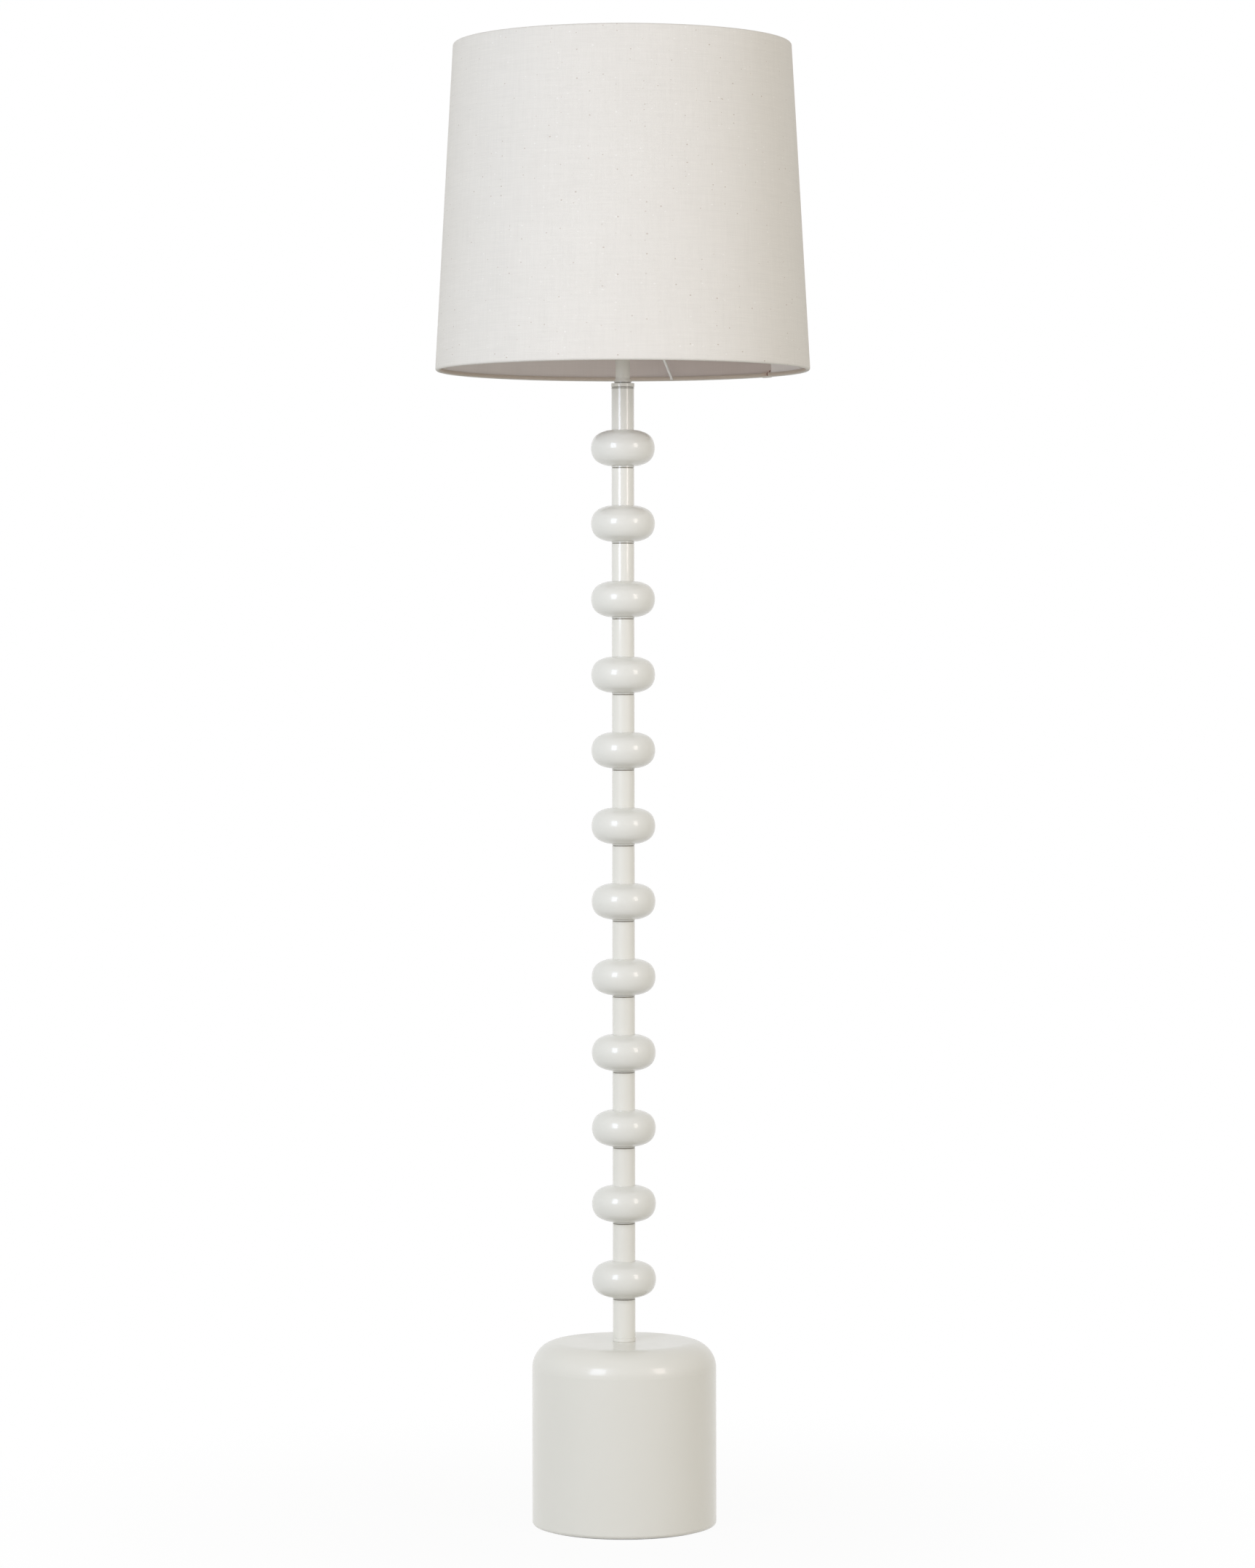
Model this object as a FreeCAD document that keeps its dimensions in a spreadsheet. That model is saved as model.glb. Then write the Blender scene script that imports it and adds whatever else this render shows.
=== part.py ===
"""Column floor lamp: a drum base, a column of beads and tubes, and a tapered drum shade.

The lamp stands on the floor at Z = 0 with its column on the Z axis, and its front faces -Y.
Every size is in millimetres and comes from the sheet named Size.
"""
import FreeCAD, Part

import math
import os

import Sketcher

os.makedirs("parts", exist_ok=True)
doc = FreeCAD.newDocument("column_floor_lamp")
sheet = doc.addObject("Spreadsheet::Sheet", "Size")

BEAD_COUNT = 12
ARM_COUNT = 3
PLATE_SCREW_COUNT = 4
KNURL_COUNT = 36
THREAD_GROOVE_COUNT = 6
BULB_THREAD_TURNS = 4

DIMENSIONS = [
    # fits and cutting allowances
    ("bore_clearance", 0.05),
    ("hole_clearance", 0.1),
    ("head_clearance", 0.2),
    ("cut_margin", 1.0),
    # drum base
    ("base_radius", 100.0),
    ("base_height", 200.0),
    ("base_top_round", 28.7),
    ("base_foot_round", 4.0),
    ("base_lift", 1.0),
    ("shell_wall", 1.5),
    ("pad_thickness", 1.5),
    ("pad_radius", 93.0),
    ("pad_opening_radius", 75.0),
    ("plate_thickness", 1.5),
    ("plate_radius", 95.3),
    ("plate_screw_circle_radius", 60.0),
    ("plate_screw_angle", 45.0),
    ("ballast_radius", 95.0),
    ("ballast_thickness", 28.0),
    ("ballast_edge_chamfer", 2.0),
    ("recess_radius", 22.0),
    ("recess_depth", 18.0),
    ("channel_width", 14.0),
    ("channel_depth", 17.0),
    ("spacer_radius", 10.0),
    ("spacer_bore_radius", 8.0),
    ("pressure_washer_radius", 30.0),
    ("pressure_washer_thickness", 2.0),
    ("anchor_washer_radius", 15.0),
    ("anchor_washer_thickness", 2.0),
    ("nut_flats", 17.0),
    ("nut_thickness", 6.0),
    ("nut_chamfer", 0.9),
    ("nut_chamfer_height", 0.54),
    ("screw_radius", 2.0),
    ("screw_head_radius", 3.8),
    ("screw_length", 10.0),
    ("screw_slot_width", 1.0),
    ("screw_slot_length", 4.4),
    ("screw_slot_depth", 0.8),
    # cable gland, at the rear
    ("gland_height", 12.0),
    ("gland_bore_radius", 3.6),
    ("gland_neck_radius", 5.8),
    ("gland_flange_radius", 8.0),
    ("gland_flange_thickness", 2.5),
    ("gland_neck_length", 1.9),
    ("gland_lip_radius", 6.8),
    ("gland_lip_thickness", 1.6),
    ("gland_lip_taper", 0.4),
    ("gland_edge_round", 1.2),
    # threaded pipe
    ("pipe_radius", 5.0),
    ("pipe_bore_radius", 4.0),
    ("pipe_hole_radius", 5.2),
    ("pipe_end_below_nut", 2.0),
    ("pipe_end_in_holder", 12.0),
    ("coupling_radius", 7.0),
    ("coupling_length", 30.0),
    # column
    ("tube_radius", 12.3),
    ("tube_bore_radius", 11.1),
    ("spigot_radius", 11.0),
    ("spigot_length", 3.0),
    ("foot_ring_radius", 12.45),
    ("foot_ring_height", 4.0),
    ("small_chamfer", 0.4),
    ("first_bead_height", 267.4),
    ("bead_pitch", 82.13),
    ("bead_radius", 34.75),
    ("bead_half_height", 19.66),
    ("bead_side_radius", 21.37),
    ("bead_side_angle", 22.7),
    ("bead_shoulder_radius", 15.48),
    ("bead_shoulder_angle", 60.4),
    ("bead_crown_radius", 30.2),
    ("bead_seat_radius", 12.4),
    ("bead_seat_depth", 2.5),
    ("bead_neck_height", 1.4),
    ("joint_gap", 1.0),
    ("joint_core_radius", 11.8),
    ("collar_base_height", 1235.0),
    ("collar_height", 6.2),
    ("collar_radius", 12.65),
    ("collar_groove_height", 1.3),
    ("collar_groove_width", 0.9),
    ("collar_groove_radius", 11.95),
    ("collar_seat_height", 0.5),
    # neck
    ("neck_radius", 7.75),
    ("neck_waist_radius", 8.8),
    ("neck_flare_radius", 9.75),
    ("neck_waist_height", 1.2),
    ("neck_flare_height", 1.1),
    ("neck_cone_height", 3.6),
    ("neck_top_height", 1296.0),
    # lampholder, measured from its shoulder
    ("shoulder_height", 1338.4),
    ("shoulder_radius", 22.5),
    ("shoulder_thickness", 3.0),
    ("holder_radius", 20.5),
    ("holder_wall", 2.4),
    ("skirt_thread_radius", 19.75),
    ("skirt_bore_radius", 17.0),
    ("skirt_rise", 21.6),
    ("skirt_drop", 12.4),
    ("skirt_spigot_drop", 16.4),
    ("thread_pitch", 2.5),
    ("thread_depth", 0.6),
    ("thread_half_width", 0.9),
    ("thread_overcut", 0.2),
    ("cap_side_drop", 21.0),
    ("cap_shoulder_drop", 36.0),
    ("cap_boss_radius", 9.0),
    ("cap_inner_boss_radius", 8.0),
    ("cap_round", 20.0),
    ("insert_radius", 16.8),
    ("insert_drop", 18.0),
    ("insert_floor_drop", 4.4),
    ("insert_rise", 14.0),
    ("insert_wall_radius", 14.4),
    ("insert_hole_radius", 4.0),
    ("terminal_spacing", 11.0),
    ("terminal_hole_radius", 1.7),
    ("terminal_screw_radius", 1.5),
    ("terminal_head_radius", 2.8),
    ("terminal_head_height", 2.0),
    ("terminal_end_gap", 2.0),
    ("shell_outer_radius", 14.0),
    ("shell_inner_radius", 13.6),
    ("shell_rise", 17.6),
    ("shell_floor_radius", 9.0),
    ("contact_width", 5.0),
    ("contact_sheet", 0.5),
    ("contact_rise", 1.5),
    ("contact_heel", 7.5),
    ("contact_bend", 4.5),
    ("contact_knee", 1.5),
    ("contact_toe", 3.0),
    ("contact_bend_step", 0.2),
    # retaining ring
    ("ring_flange_radius", 27.0),
    ("ring_flange_height", 3.0),
    ("ring_collar_radius", 23.6),
    ("ring_height", 7.0),
    ("ring_bore_radius", 19.83),
    ("knurl_radius", 0.8),
    ("knurl_offset", 0.2),
    # bulb, measured from the lampholder's shoulder
    ("bulb_button_drop", 2.6),
    ("bulb_button_radius", 4.5),
    ("bulb_button_height", 1.4),
    ("bulb_button_round", 8.0),
    ("bulb_insulator_height", 3.6),
    ("bulb_insulator_radius", 11.0),
    ("bulb_insulator_edge", 1.0),
    ("bulb_insulator_curve", 14.0),
    ("bulb_cap_radius", 13.2),
    ("bulb_cap_groove_radius", 12.3),
    ("bulb_cap_wall", 0.5),
    ("bulb_thread_pitch", 3.6),
    ("bulb_cap_rise", 25.0),
    ("bulb_cap_seat", 1.2),
    ("bulb_cap_edge", 0.6),
    ("bulb_cap_lip", 2.0),
    ("bulb_cap_round", 2.4),
    ("bulb_cap_round_height", 1.8),
    ("bulb_cap_plain_height", 4.0),
    ("bulb_neck_radius", 12.7),
    ("bulb_stem_radius", 11.4),
    ("bulb_glass_wall", 1.0),
    ("bulb_globe_radius", 30.0),
    ("bulb_globe_height", 74.4),
    ("bulb_waist_angle", 42.0),
    ("bulb_waist_curve", 60.0),
    ("bulb_stem_depth", 5.0),
    ("bulb_stem_shoulder", 3.4),
    ("bulb_neck_gap", 0.3),
    ("bulb_neck_flare", 1.4),
    ("bulb_neck_length", 6.0),
    ("bulb_inner_step", 0.2),
    # shade
    ("shade_bottom_height", 1254.6),
    ("shade_height", 355.4),
    ("shade_bottom_radius", 203.6),
    ("shade_top_radius", 184.1),
    ("cover_thickness", 0.6),
    ("rim_roll_radius", 2.5),
    ("rim_tail_angle", 64.0),
    ("rim_wire_radius", 1.8),
    ("backing_gap", 0.1),
    ("backing_thickness", 0.5),
    ("backing_end_gap", 1.6),
    ("lap_width", 14.0),
    ("lap_thickness", 0.5),
    ("lap_end_gap", 0.3),
    ("seam_angle", 35.35),
    ("arm_angle", 74.1),
    ("arm_wire_radius", 1.45),
    ("arm_bend_radius", 9.0),
    ("arm_inner_radius", 24.2),
    ("arm_turn_radius", 68.0),
    ("arm_slot_width", 3.6),
    ("arm_slot_bottom", 1.375),
    ("fitter_thickness", 1.6),
    ("fitter_radius", 29.0),
    ("fitter_bore_radius", 20.1),
]

for row, (alias, size) in enumerate(DIMENSIONS, start=1):
    sheet.set("A%d" % row, alias)
    sheet.set("B%d" % row, str(size))
    sheet.setAlias("B%d" % row, alias)
doc.recompute()


# ---- shared helpers -------------------------------------------------------------------------

def value(expression):
    """The number that an expression of the sheet's cells comes to."""
    return float(sheet.evalExpression(expression))


def bind(target, **properties):
    """Tie properties of an object to expressions of the sheet's cells."""
    for name, expression in properties.items():
        target.setExpression(name, expression)


def lift(target, height):
    """Put an object at a height above the floor."""
    target.setExpression("Placement.Base.z", height)


def origin_feature(body, role):
    """The plane or axis of a body's own origin that has this role."""
    return next(item for item in body.Origin.OriginFeatures if item.Role == role)


def new_body(label):
    body = doc.addObject("PartDesign::Body", label)
    body.Label = label
    return body


def new_sketch(body, name, plane="XZ_Plane"):
    sketch = body.newObject("Sketcher::SketchObject", name)
    sketch.AttachmentSupport = [(origin_feature(body, plane), "")]
    sketch.MapMode = "FlatFace"
    return sketch


def constrain(sketch, name, expression, kind, *geometry):
    """Add a dimension to a sketch and tie it to the sheet."""
    index = sketch.addConstraint(Sketcher.Constraint(kind, *geometry, value(expression)))
    sketch.renameConstraint(index, name)
    sketch.setExpression("Constraints." + name, expression)


def arc_between(start, end, radius, centre_on_left):
    """A minor arc from start to end, with its centre to the left or right of the way along."""
    chord = end - start
    half = chord.Length / 2
    side = FreeCAD.Vector(-chord.y, chord.x, 0).normalize()
    offset = math.sqrt(max(radius * radius - half * half, 0.0))
    centre = (start + end) * 0.5 + side * (offset if centre_on_left else -offset)
    first, last = (start, end) if centre_on_left else (end, start)
    start_angle = math.atan2(first.y - centre.y, first.x - centre.x)
    end_angle = math.atan2(last.y - centre.y, last.x - centre.x)
    if end_angle < start_angle:
        end_angle += 2 * math.pi
    circle = Part.Circle(centre, FreeCAD.Vector(0, 0, 1), radius)
    return Part.ArcOfCircle(circle, start_angle, end_angle)


def draw_path(sketch, corners, closed=True):
    """Join corners by lines and arcs, each corner held by its two distances from the origin.

    A corner is (across, up). A corner (across, up, radius, side) is reached by an arc of that
    radius, whose centre lies on that side of the way along.
    """
    points = [FreeCAD.Vector(value(corner[0]), value(corner[1]), 0) for corner in corners]
    count = len(corners)
    ends = []
    for index in range(count if closed else count - 1):
        target = (index + 1) % count
        start, end = points[index], points[target]
        if len(corners[target]) == 2:
            edge = sketch.addGeometry(Part.LineSegment(start, end))
            ends.append((edge, 1, 2))
            continue
        radius, side = corners[target][2:]
        on_left = side == "left"
        edge = sketch.addGeometry(arc_between(start, end, value(radius), on_left))
        ends.append((edge, 1, 2) if on_left else (edge, 2, 1))
        constrain(sketch, "bend_%d" % target, radius, "Radius", edge)
    for index, (edge, start_point, _) in enumerate(ends):
        if index or closed:
            before, _, before_end = ends[index - 1]
            sketch.addConstraint(
                Sketcher.Constraint("Coincident", before, before_end, edge, start_point))
        across, up = corners[index][:2]
        constrain(sketch, "across_%d" % index, across, "DistanceX", -1, 1, edge, start_point)
        constrain(sketch, "up_%d" % index, up, "DistanceY", -1, 1, edge, start_point)
    if not closed:
        edge, _, end_point = ends[-1]
        across, up = corners[-1][:2]
        constrain(sketch, "across_end", across, "DistanceX", -1, 1, edge, end_point)
        constrain(sketch, "up_end", up, "DistanceY", -1, 1, edge, end_point)


def draw_circle(sketch, name, radius, across="0", up="0"):
    centre = FreeCAD.Vector(value(across), value(up), 0)
    circle = sketch.addGeometry(Part.Circle(centre, FreeCAD.Vector(0, 0, 1), value(radius)))
    constrain(sketch, name + "_radius", radius, "Radius", circle)
    constrain(sketch, name + "_across", across, "DistanceX", -1, 1, circle, 3)
    constrain(sketch, name + "_up", up, "DistanceY", -1, 1, circle, 3)


def revolve(body, sketch, kind="PartDesign::Revolution", angle=None):
    """Turn a sketch about the body's upright axis."""
    feature = body.newObject(kind, "Turning")
    feature.Profile = sketch
    feature.ReferenceAxis = (sketch, ["V_Axis"])
    feature.Angle = 360
    if angle:
        bind(feature, Angle=angle)
    return feature


def turned_piece(label, height, outline, angle=None):
    """A piece turned on the upright axis from one closed outline of (radius, height) corners."""
    body = new_body(label)
    sketch = new_sketch(body, label + "_outline")
    draw_path(sketch, outline)
    revolve(body, sketch, angle=angle)
    lift(body, height)
    return body


def pad(body, sketch, length):
    feature = body.newObject("PartDesign::Pad", "Plate")
    feature.Profile = sketch
    bind(feature, Length=length)
    return feature


def tube_piece(label, height, outer, inner, length):
    """A plain tube or washer that stands on a height."""
    body = new_body(label)
    sketch = new_sketch(body, label + "_ring", "XY_Plane")
    draw_circle(sketch, "outer", outer)
    draw_circle(sketch, "inner", inner)
    pad(body, sketch, length)
    lift(body, height)
    return body


def pocket(body, sketch, depth=None, reversed_cut=False):
    """Cut a sketch into a body and prove that it took something away."""
    doc.recompute()
    before = body.Shape.Volume
    feature = body.newObject("PartDesign::Pocket", "Cut")
    feature.Profile = sketch
    feature.Reversed = reversed_cut
    if depth:
        bind(feature, Length=depth)
    else:
        feature.Type = "ThroughAll"
    doc.recompute()
    if body.Shape.Volume > before - 1e-6:
        raise RuntimeError("a cut in %s takes nothing away" % body.Label)
    return feature


def repeat_round(body, features, count):
    """Repeat features round the body's upright axis."""
    pattern = body.newObject("PartDesign::PolarPattern", "Round")
    pattern.Originals = features
    pattern.Axis = (origin_feature(body, "Z_Axis"), [""])
    pattern.Angle = 360
    pattern.Occurrences = count
    body.Tip = pattern
    return pattern


# ---- drum base ------------------------------------------------------------------------------

# Heights above the floor of the faces that the clamped stack is built from.
PLATE_BOTTOM = "Size.pad_thickness"
BALLAST_BOTTOM = "Size.pad_thickness + Size.plate_thickness"
BALLAST_TOP = BALLAST_BOTTOM + " + Size.ballast_thickness"
RECESS_CEILING = BALLAST_BOTTOM + " + Size.recess_depth"
NUT_BOTTOM = RECESS_CEILING + " - Size.anchor_washer_thickness - Size.nut_thickness"
PIPE_BOTTOM = NUT_BOTTOM + " - Size.pipe_end_below_nut"
# Place of the first plate screw.
SCREW_ACROSS = "Size.plate_screw_circle_radius * cos(Size.plate_screw_angle)"
SCREW_UP = "Size.plate_screw_circle_radius * sin(Size.plate_screw_angle)"
PRESSURE_WASHER_BOTTOM = "Size.base_height - Size.shell_wall - Size.pressure_washer_thickness"


def make_base_shell():
    """Drum of sheet steel, open below, with a pipe hole on top and a gland hole at the rear."""
    top = "(Size.base_height - Size.base_lift)"
    wall = "Size.shell_wall"
    top_start = top + " - Size.base_top_round"
    inner_round = "(Size.base_top_round - Size.shell_wall)"
    foot_inner_round = "(Size.base_foot_round - Size.shell_wall)"
    foot_x = "Size.base_radius - Size.base_foot_round"
    body = turned_piece("base_shell", "Size.base_lift", [
        (foot_x, "0"),
        ("Size.base_radius", "Size.base_foot_round", "Size.base_foot_round", "left"),
        ("Size.base_radius", top_start),
        ("Size.base_radius - Size.base_top_round", top, "Size.base_top_round", "left"),
        ("Size.pipe_hole_radius", top),
        ("Size.pipe_hole_radius", top + " - " + wall),
        ("Size.base_radius - Size.base_top_round", top + " - " + wall),
        ("Size.base_radius - " + wall, top_start, inner_round, "right"),
        ("Size.base_radius - " + wall, "Size.base_foot_round"),
        (foot_x, wall, foot_inner_round, "right"),
    ])
    gland_hole = new_sketch(body, "base_shell_gland_hole")
    draw_circle(gland_hole, "hole", "Size.gland_neck_radius + Size.hole_clearance",
                up="Size.gland_height - Size.base_lift")
    pocket(body, gland_hole)


def make_ballast():
    """Iron disc with a nut recess, a cable channel to the rear and tapped holes underneath."""
    body = new_body("ballast_disc")
    outline = new_sketch(body, "ballast_outline")
    draw_path(outline, [
        ("Size.pipe_hole_radius", "Size.recess_depth"),
        ("Size.recess_radius", "Size.recess_depth"),
        ("Size.recess_radius", "0"),
        ("Size.ballast_radius", "0"),
        ("Size.ballast_radius", "Size.ballast_thickness - Size.ballast_edge_chamfer"),
        ("Size.ballast_radius - Size.ballast_edge_chamfer", "Size.ballast_thickness"),
        ("Size.pipe_hole_radius", "Size.ballast_thickness"),
    ])
    revolve(body, outline)
    channel = new_sketch(body, "ballast_channel", "XY_Plane")
    draw_path(channel, [
        ("-Size.channel_width / 2", "0"),
        ("Size.channel_width / 2", "0"),
        ("Size.channel_width / 2", "Size.base_radius"),
        ("-Size.channel_width / 2", "Size.base_radius"),
    ])
    pocket(body, channel, "Size.channel_depth", reversed_cut=True)
    tapped = new_sketch(body, "ballast_tapped_hole", "XY_Plane")
    draw_circle(tapped, "hole", "Size.screw_radius", across=SCREW_ACROSS, up=SCREW_UP)
    hole = pocket(body, tapped, "Size.screw_length", reversed_cut=True)
    repeat_round(body, [hole], PLATE_SCREW_COUNT)
    lift(body, BALLAST_BOTTOM)


def make_base_plate():
    """Thin plate with four countersunk holes."""
    body = new_body("base_plate")
    disc = new_sketch(body, "base_plate_disc", "XY_Plane")
    draw_circle(disc, "plate", "Size.plate_radius")
    pad(body, disc, "Size.plate_thickness")
    centre = new_sketch(body, "base_plate_hole", "XY_Plane")
    draw_circle(centre, "hole", "Size.screw_head_radius + Size.head_clearance", across=SCREW_ACROSS,
                up=SCREW_UP)
    hole = pocket(body, centre, reversed_cut=True)
    repeat_round(body, [hole], PLATE_SCREW_COUNT)
    lift(body, PLATE_BOTTOM)


def make_plate_screws():
    """Four screws whose heads sit level with the underside of the plate."""
    body = new_body("plate_screws")
    body.AllowCompound = True
    head = new_sketch(body, "plate_screw_head", "XY_Plane")
    draw_circle(head, "head", "Size.screw_head_radius", across=SCREW_ACROSS, up=SCREW_UP)
    head_pad = pad(body, head, "Size.plate_thickness")
    shank = new_sketch(body, "plate_screw_shank", "XY_Plane")
    draw_circle(shank, "shank", "Size.screw_radius", across=SCREW_ACROSS, up=SCREW_UP)
    shank_pad = pad(body, shank, "Size.plate_thickness + Size.screw_length")
    doc.recompute()
    drive = new_sketch(body, "plate_screw_drive", "XY_Plane")
    draw_path(drive, [
        (SCREW_ACROSS + " - Size.screw_slot_width / 2", SCREW_UP + " - Size.screw_slot_length / 2"),
        (SCREW_ACROSS + " + Size.screw_slot_width / 2", SCREW_UP + " - Size.screw_slot_length / 2"),
        (SCREW_ACROSS + " + Size.screw_slot_width / 2", SCREW_UP + " + Size.screw_slot_length / 2"),
        (SCREW_ACROSS + " - Size.screw_slot_width / 2", SCREW_UP + " + Size.screw_slot_length / 2"),
    ])
    slot = pocket(body, drive, "Size.screw_slot_depth", reversed_cut=True)
    repeat_round(body, [head_pad, shank_pad, slot], PLATE_SCREW_COUNT)
    lift(body, PLATE_BOTTOM)


def make_anchor_nut():
    """Hexagon nut with chamfered corners."""
    body = new_body("anchor_nut")
    hexagon = new_sketch(body, "anchor_nut_hexagon", "XY_Plane")
    corners = []
    for index in range(6):
        angle = 60 * index
        corners.append(("Size.nut_flats / 2 / cos(30) * cos(%d)" % angle,
                        "Size.nut_flats / 2 / cos(30) * sin(%d)" % angle))
    draw_path(hexagon, corners)
    pad(body, hexagon, "Size.nut_thickness")
    bore = new_sketch(body, "anchor_nut_bore", "XY_Plane")
    draw_circle(bore, "bore", "Size.pipe_radius + Size.bore_clearance")
    pocket(body, bore, reversed_cut=True)
    corner_cut = new_sketch(body, "anchor_nut_corner_cut")
    corner_radius = "Size.nut_flats / 2 / cos(30)"
    draw_path(corner_cut, [
        (corner_radius + " - Size.nut_chamfer", "-Size.hole_clearance"),
        (corner_radius + " + Size.cut_margin", "-Size.hole_clearance"),
        (corner_radius + " + Size.cut_margin", "Size.nut_chamfer_height"),
        (corner_radius, "Size.nut_chamfer_height"),
    ])
    revolve(body, corner_cut, "PartDesign::Groove")
    lift(body, NUT_BOTTOM)


def make_gland():
    """Bush with an outer flange and an inner lip, on an axis that points to the rear."""
    flange = "Size.gland_flange_thickness"
    neck = flange + " + Size.gland_neck_length"
    lip = neck + " + Size.gland_lip_thickness"
    body = new_body("cable_gland")
    sketch = new_sketch(body, "cable_gland_outline")
    draw_path(sketch, [
        ("Size.gland_bore_radius", "0"),
        ("Size.gland_flange_radius - Size.gland_edge_round", "0"),
        ("Size.gland_flange_radius", "Size.gland_edge_round", "Size.gland_edge_round", "left"),
        ("Size.gland_flange_radius", flange),
        ("Size.gland_neck_radius", flange),
        ("Size.gland_neck_radius", neck),
        ("Size.gland_lip_radius", neck),
        ("Size.gland_neck_radius - Size.gland_lip_taper", lip),
        ("Size.gland_bore_radius", lip),
    ])
    revolve(body, sketch)
    body.Placement = FreeCAD.Placement(FreeCAD.Vector(0, 0, 0),
                                       FreeCAD.Rotation(FreeCAD.Vector(1, 0, 0), 90))
    bind(body, **{"Placement.Base.y": "Size.base_radius + Size.gland_flange_thickness",
                  "Placement.Base.z": "Size.gland_height"})


def make_base():
    make_base_shell()
    make_ballast()
    make_base_plate()
    make_plate_screws()
    make_anchor_nut()
    make_gland()
    tube_piece("foot_pad", "0", "Size.pad_radius", "Size.pad_opening_radius", "Size.pad_thickness")
    tube_piece("anchor_washer", RECESS_CEILING + " - Size.anchor_washer_thickness",
               "Size.anchor_washer_radius", "Size.pipe_hole_radius", "Size.anchor_washer_thickness")
    tube_piece("base_spacer", BALLAST_TOP, "Size.spacer_radius", "Size.spacer_bore_radius",
               PRESSURE_WASHER_BOTTOM + " - (" + BALLAST_TOP + ")")
    tube_piece("pressure_washer", PRESSURE_WASHER_BOTTOM, "Size.pressure_washer_radius",
               "Size.pipe_hole_radius", "Size.pressure_washer_thickness")


# ---- column ---------------------------------------------------------------------------------

TUBE_END_ABOVE_BEAD = "Size.bead_half_height - Size.bead_seat_depth"
TUBE_END_BELOW_BEAD = "Size.bead_half_height + Size.bead_neck_height + Size.joint_gap"
PIPE_TOP = "Size.neck_top_height + Size.pipe_end_in_holder"
PIPE_JOINT = "Size.first_bead_height + %g * Size.bead_pitch" % (BEAD_COUNT / 2 - 0.5)


def bead_height(number):
    return "(Size.first_bead_height + %d * Size.bead_pitch)" % (number - 1)


def bead_outline():
    """Half section of a bead: a side arc, two shoulders and two crowns, and a spigot below."""
    side_x = "(Size.bead_radius - Size.bead_side_radius * (1 - cos(Size.bead_side_angle)))"
    side_z = "(Size.bead_side_radius * sin(Size.bead_side_angle))"
    shoulder_x = ("(" + side_x + " - Size.bead_shoulder_radius"
                  " * (cos(Size.bead_side_angle) - cos(Size.bead_shoulder_angle)))")
    shoulder_z = ("(" + side_z + " + Size.bead_shoulder_radius"
                  " * (sin(Size.bead_shoulder_angle) - sin(Size.bead_side_angle)))")
    neck = "-(Size.bead_half_height + Size.bead_neck_height)"
    tube_end = "-(" + TUBE_END_BELOW_BEAD + ")"
    spigot_end = tube_end + " - Size.spigot_length"
    return [
        ("Size.pipe_hole_radius", spigot_end),
        ("Size.spigot_radius", spigot_end),
        ("Size.spigot_radius", tube_end),
        ("Size.joint_core_radius", tube_end),
        ("Size.joint_core_radius", neck),
        ("Size.tube_radius", neck),
        ("Size.tube_radius", "-Size.bead_half_height"),
        (shoulder_x, "-" + shoulder_z, "Size.bead_crown_radius", "left"),
        (side_x, "-" + side_z, "Size.bead_shoulder_radius", "left"),
        (side_x, side_z, "Size.bead_side_radius", "left"),
        (shoulder_x, shoulder_z, "Size.bead_shoulder_radius", "left"),
        ("Size.bead_seat_radius", "Size.bead_half_height", "Size.bead_crown_radius", "left"),
        ("Size.bead_seat_radius", TUBE_END_ABOVE_BEAD),
        ("Size.pipe_hole_radius", TUBE_END_ABOVE_BEAD),
    ]


def make_beads():
    for number in range(1, BEAD_COUNT + 1):
        turned_piece("bead_%02d" % number, bead_height(number), bead_outline())


def make_tubes():
    """Tubes from the foot ring up to the collar, one below each bead and one on top."""
    for number in range(1, BEAD_COUNT + 2):
        bottom = "Size.base_height + Size.foot_ring_height"
        top = "Size.collar_base_height"
        if number > 1:
            bottom = bead_height(number - 1) + " + " + TUBE_END_ABOVE_BEAD
        if number <= BEAD_COUNT:
            top = bead_height(number) + " - (" + TUBE_END_BELOW_BEAD + ")"
        tube_piece("column_tube_%02d" % number, bottom, "Size.tube_radius", "Size.tube_bore_radius",
                   top + " - (" + bottom + ")")


def make_foot_ring():
    turned_piece("foot_ring", "Size.base_height", [
        ("Size.pipe_hole_radius", "0"),
        ("Size.foot_ring_radius - Size.small_chamfer", "0"),
        ("Size.foot_ring_radius", "Size.small_chamfer"),
        ("Size.foot_ring_radius", "Size.foot_ring_height - Size.small_chamfer"),
        ("Size.foot_ring_radius - Size.small_chamfer", "Size.foot_ring_height"),
        ("Size.spigot_radius", "Size.foot_ring_height"),
        ("Size.spigot_radius", "Size.foot_ring_height + Size.spigot_length"),
        ("Size.pipe_hole_radius", "Size.foot_ring_height + Size.spigot_length"),
    ])


def make_collar():
    """Collar with a groove round it, and a spigot down into the top tube."""
    groove_top = "Size.collar_groove_height + Size.collar_groove_width"
    turned_piece("column_collar", "Size.collar_base_height", [
        ("Size.pipe_hole_radius", "-Size.spigot_length"),
        ("Size.spigot_radius", "-Size.spigot_length"),
        ("Size.spigot_radius", "0"),
        ("Size.collar_groove_radius", "0"),
        ("Size.collar_groove_radius", "Size.collar_seat_height"),
        ("Size.collar_radius", "Size.collar_seat_height"),
        ("Size.collar_radius", "Size.collar_groove_height"),
        ("Size.collar_groove_radius", "Size.collar_groove_height"),
        ("Size.collar_groove_radius", groove_top),
        ("Size.collar_radius", groove_top),
        ("Size.collar_radius", "Size.collar_height - Size.small_chamfer"),
        ("Size.collar_radius - Size.small_chamfer", "Size.collar_height"),
        ("Size.pipe_hole_radius", "Size.collar_height"),
    ])


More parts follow.
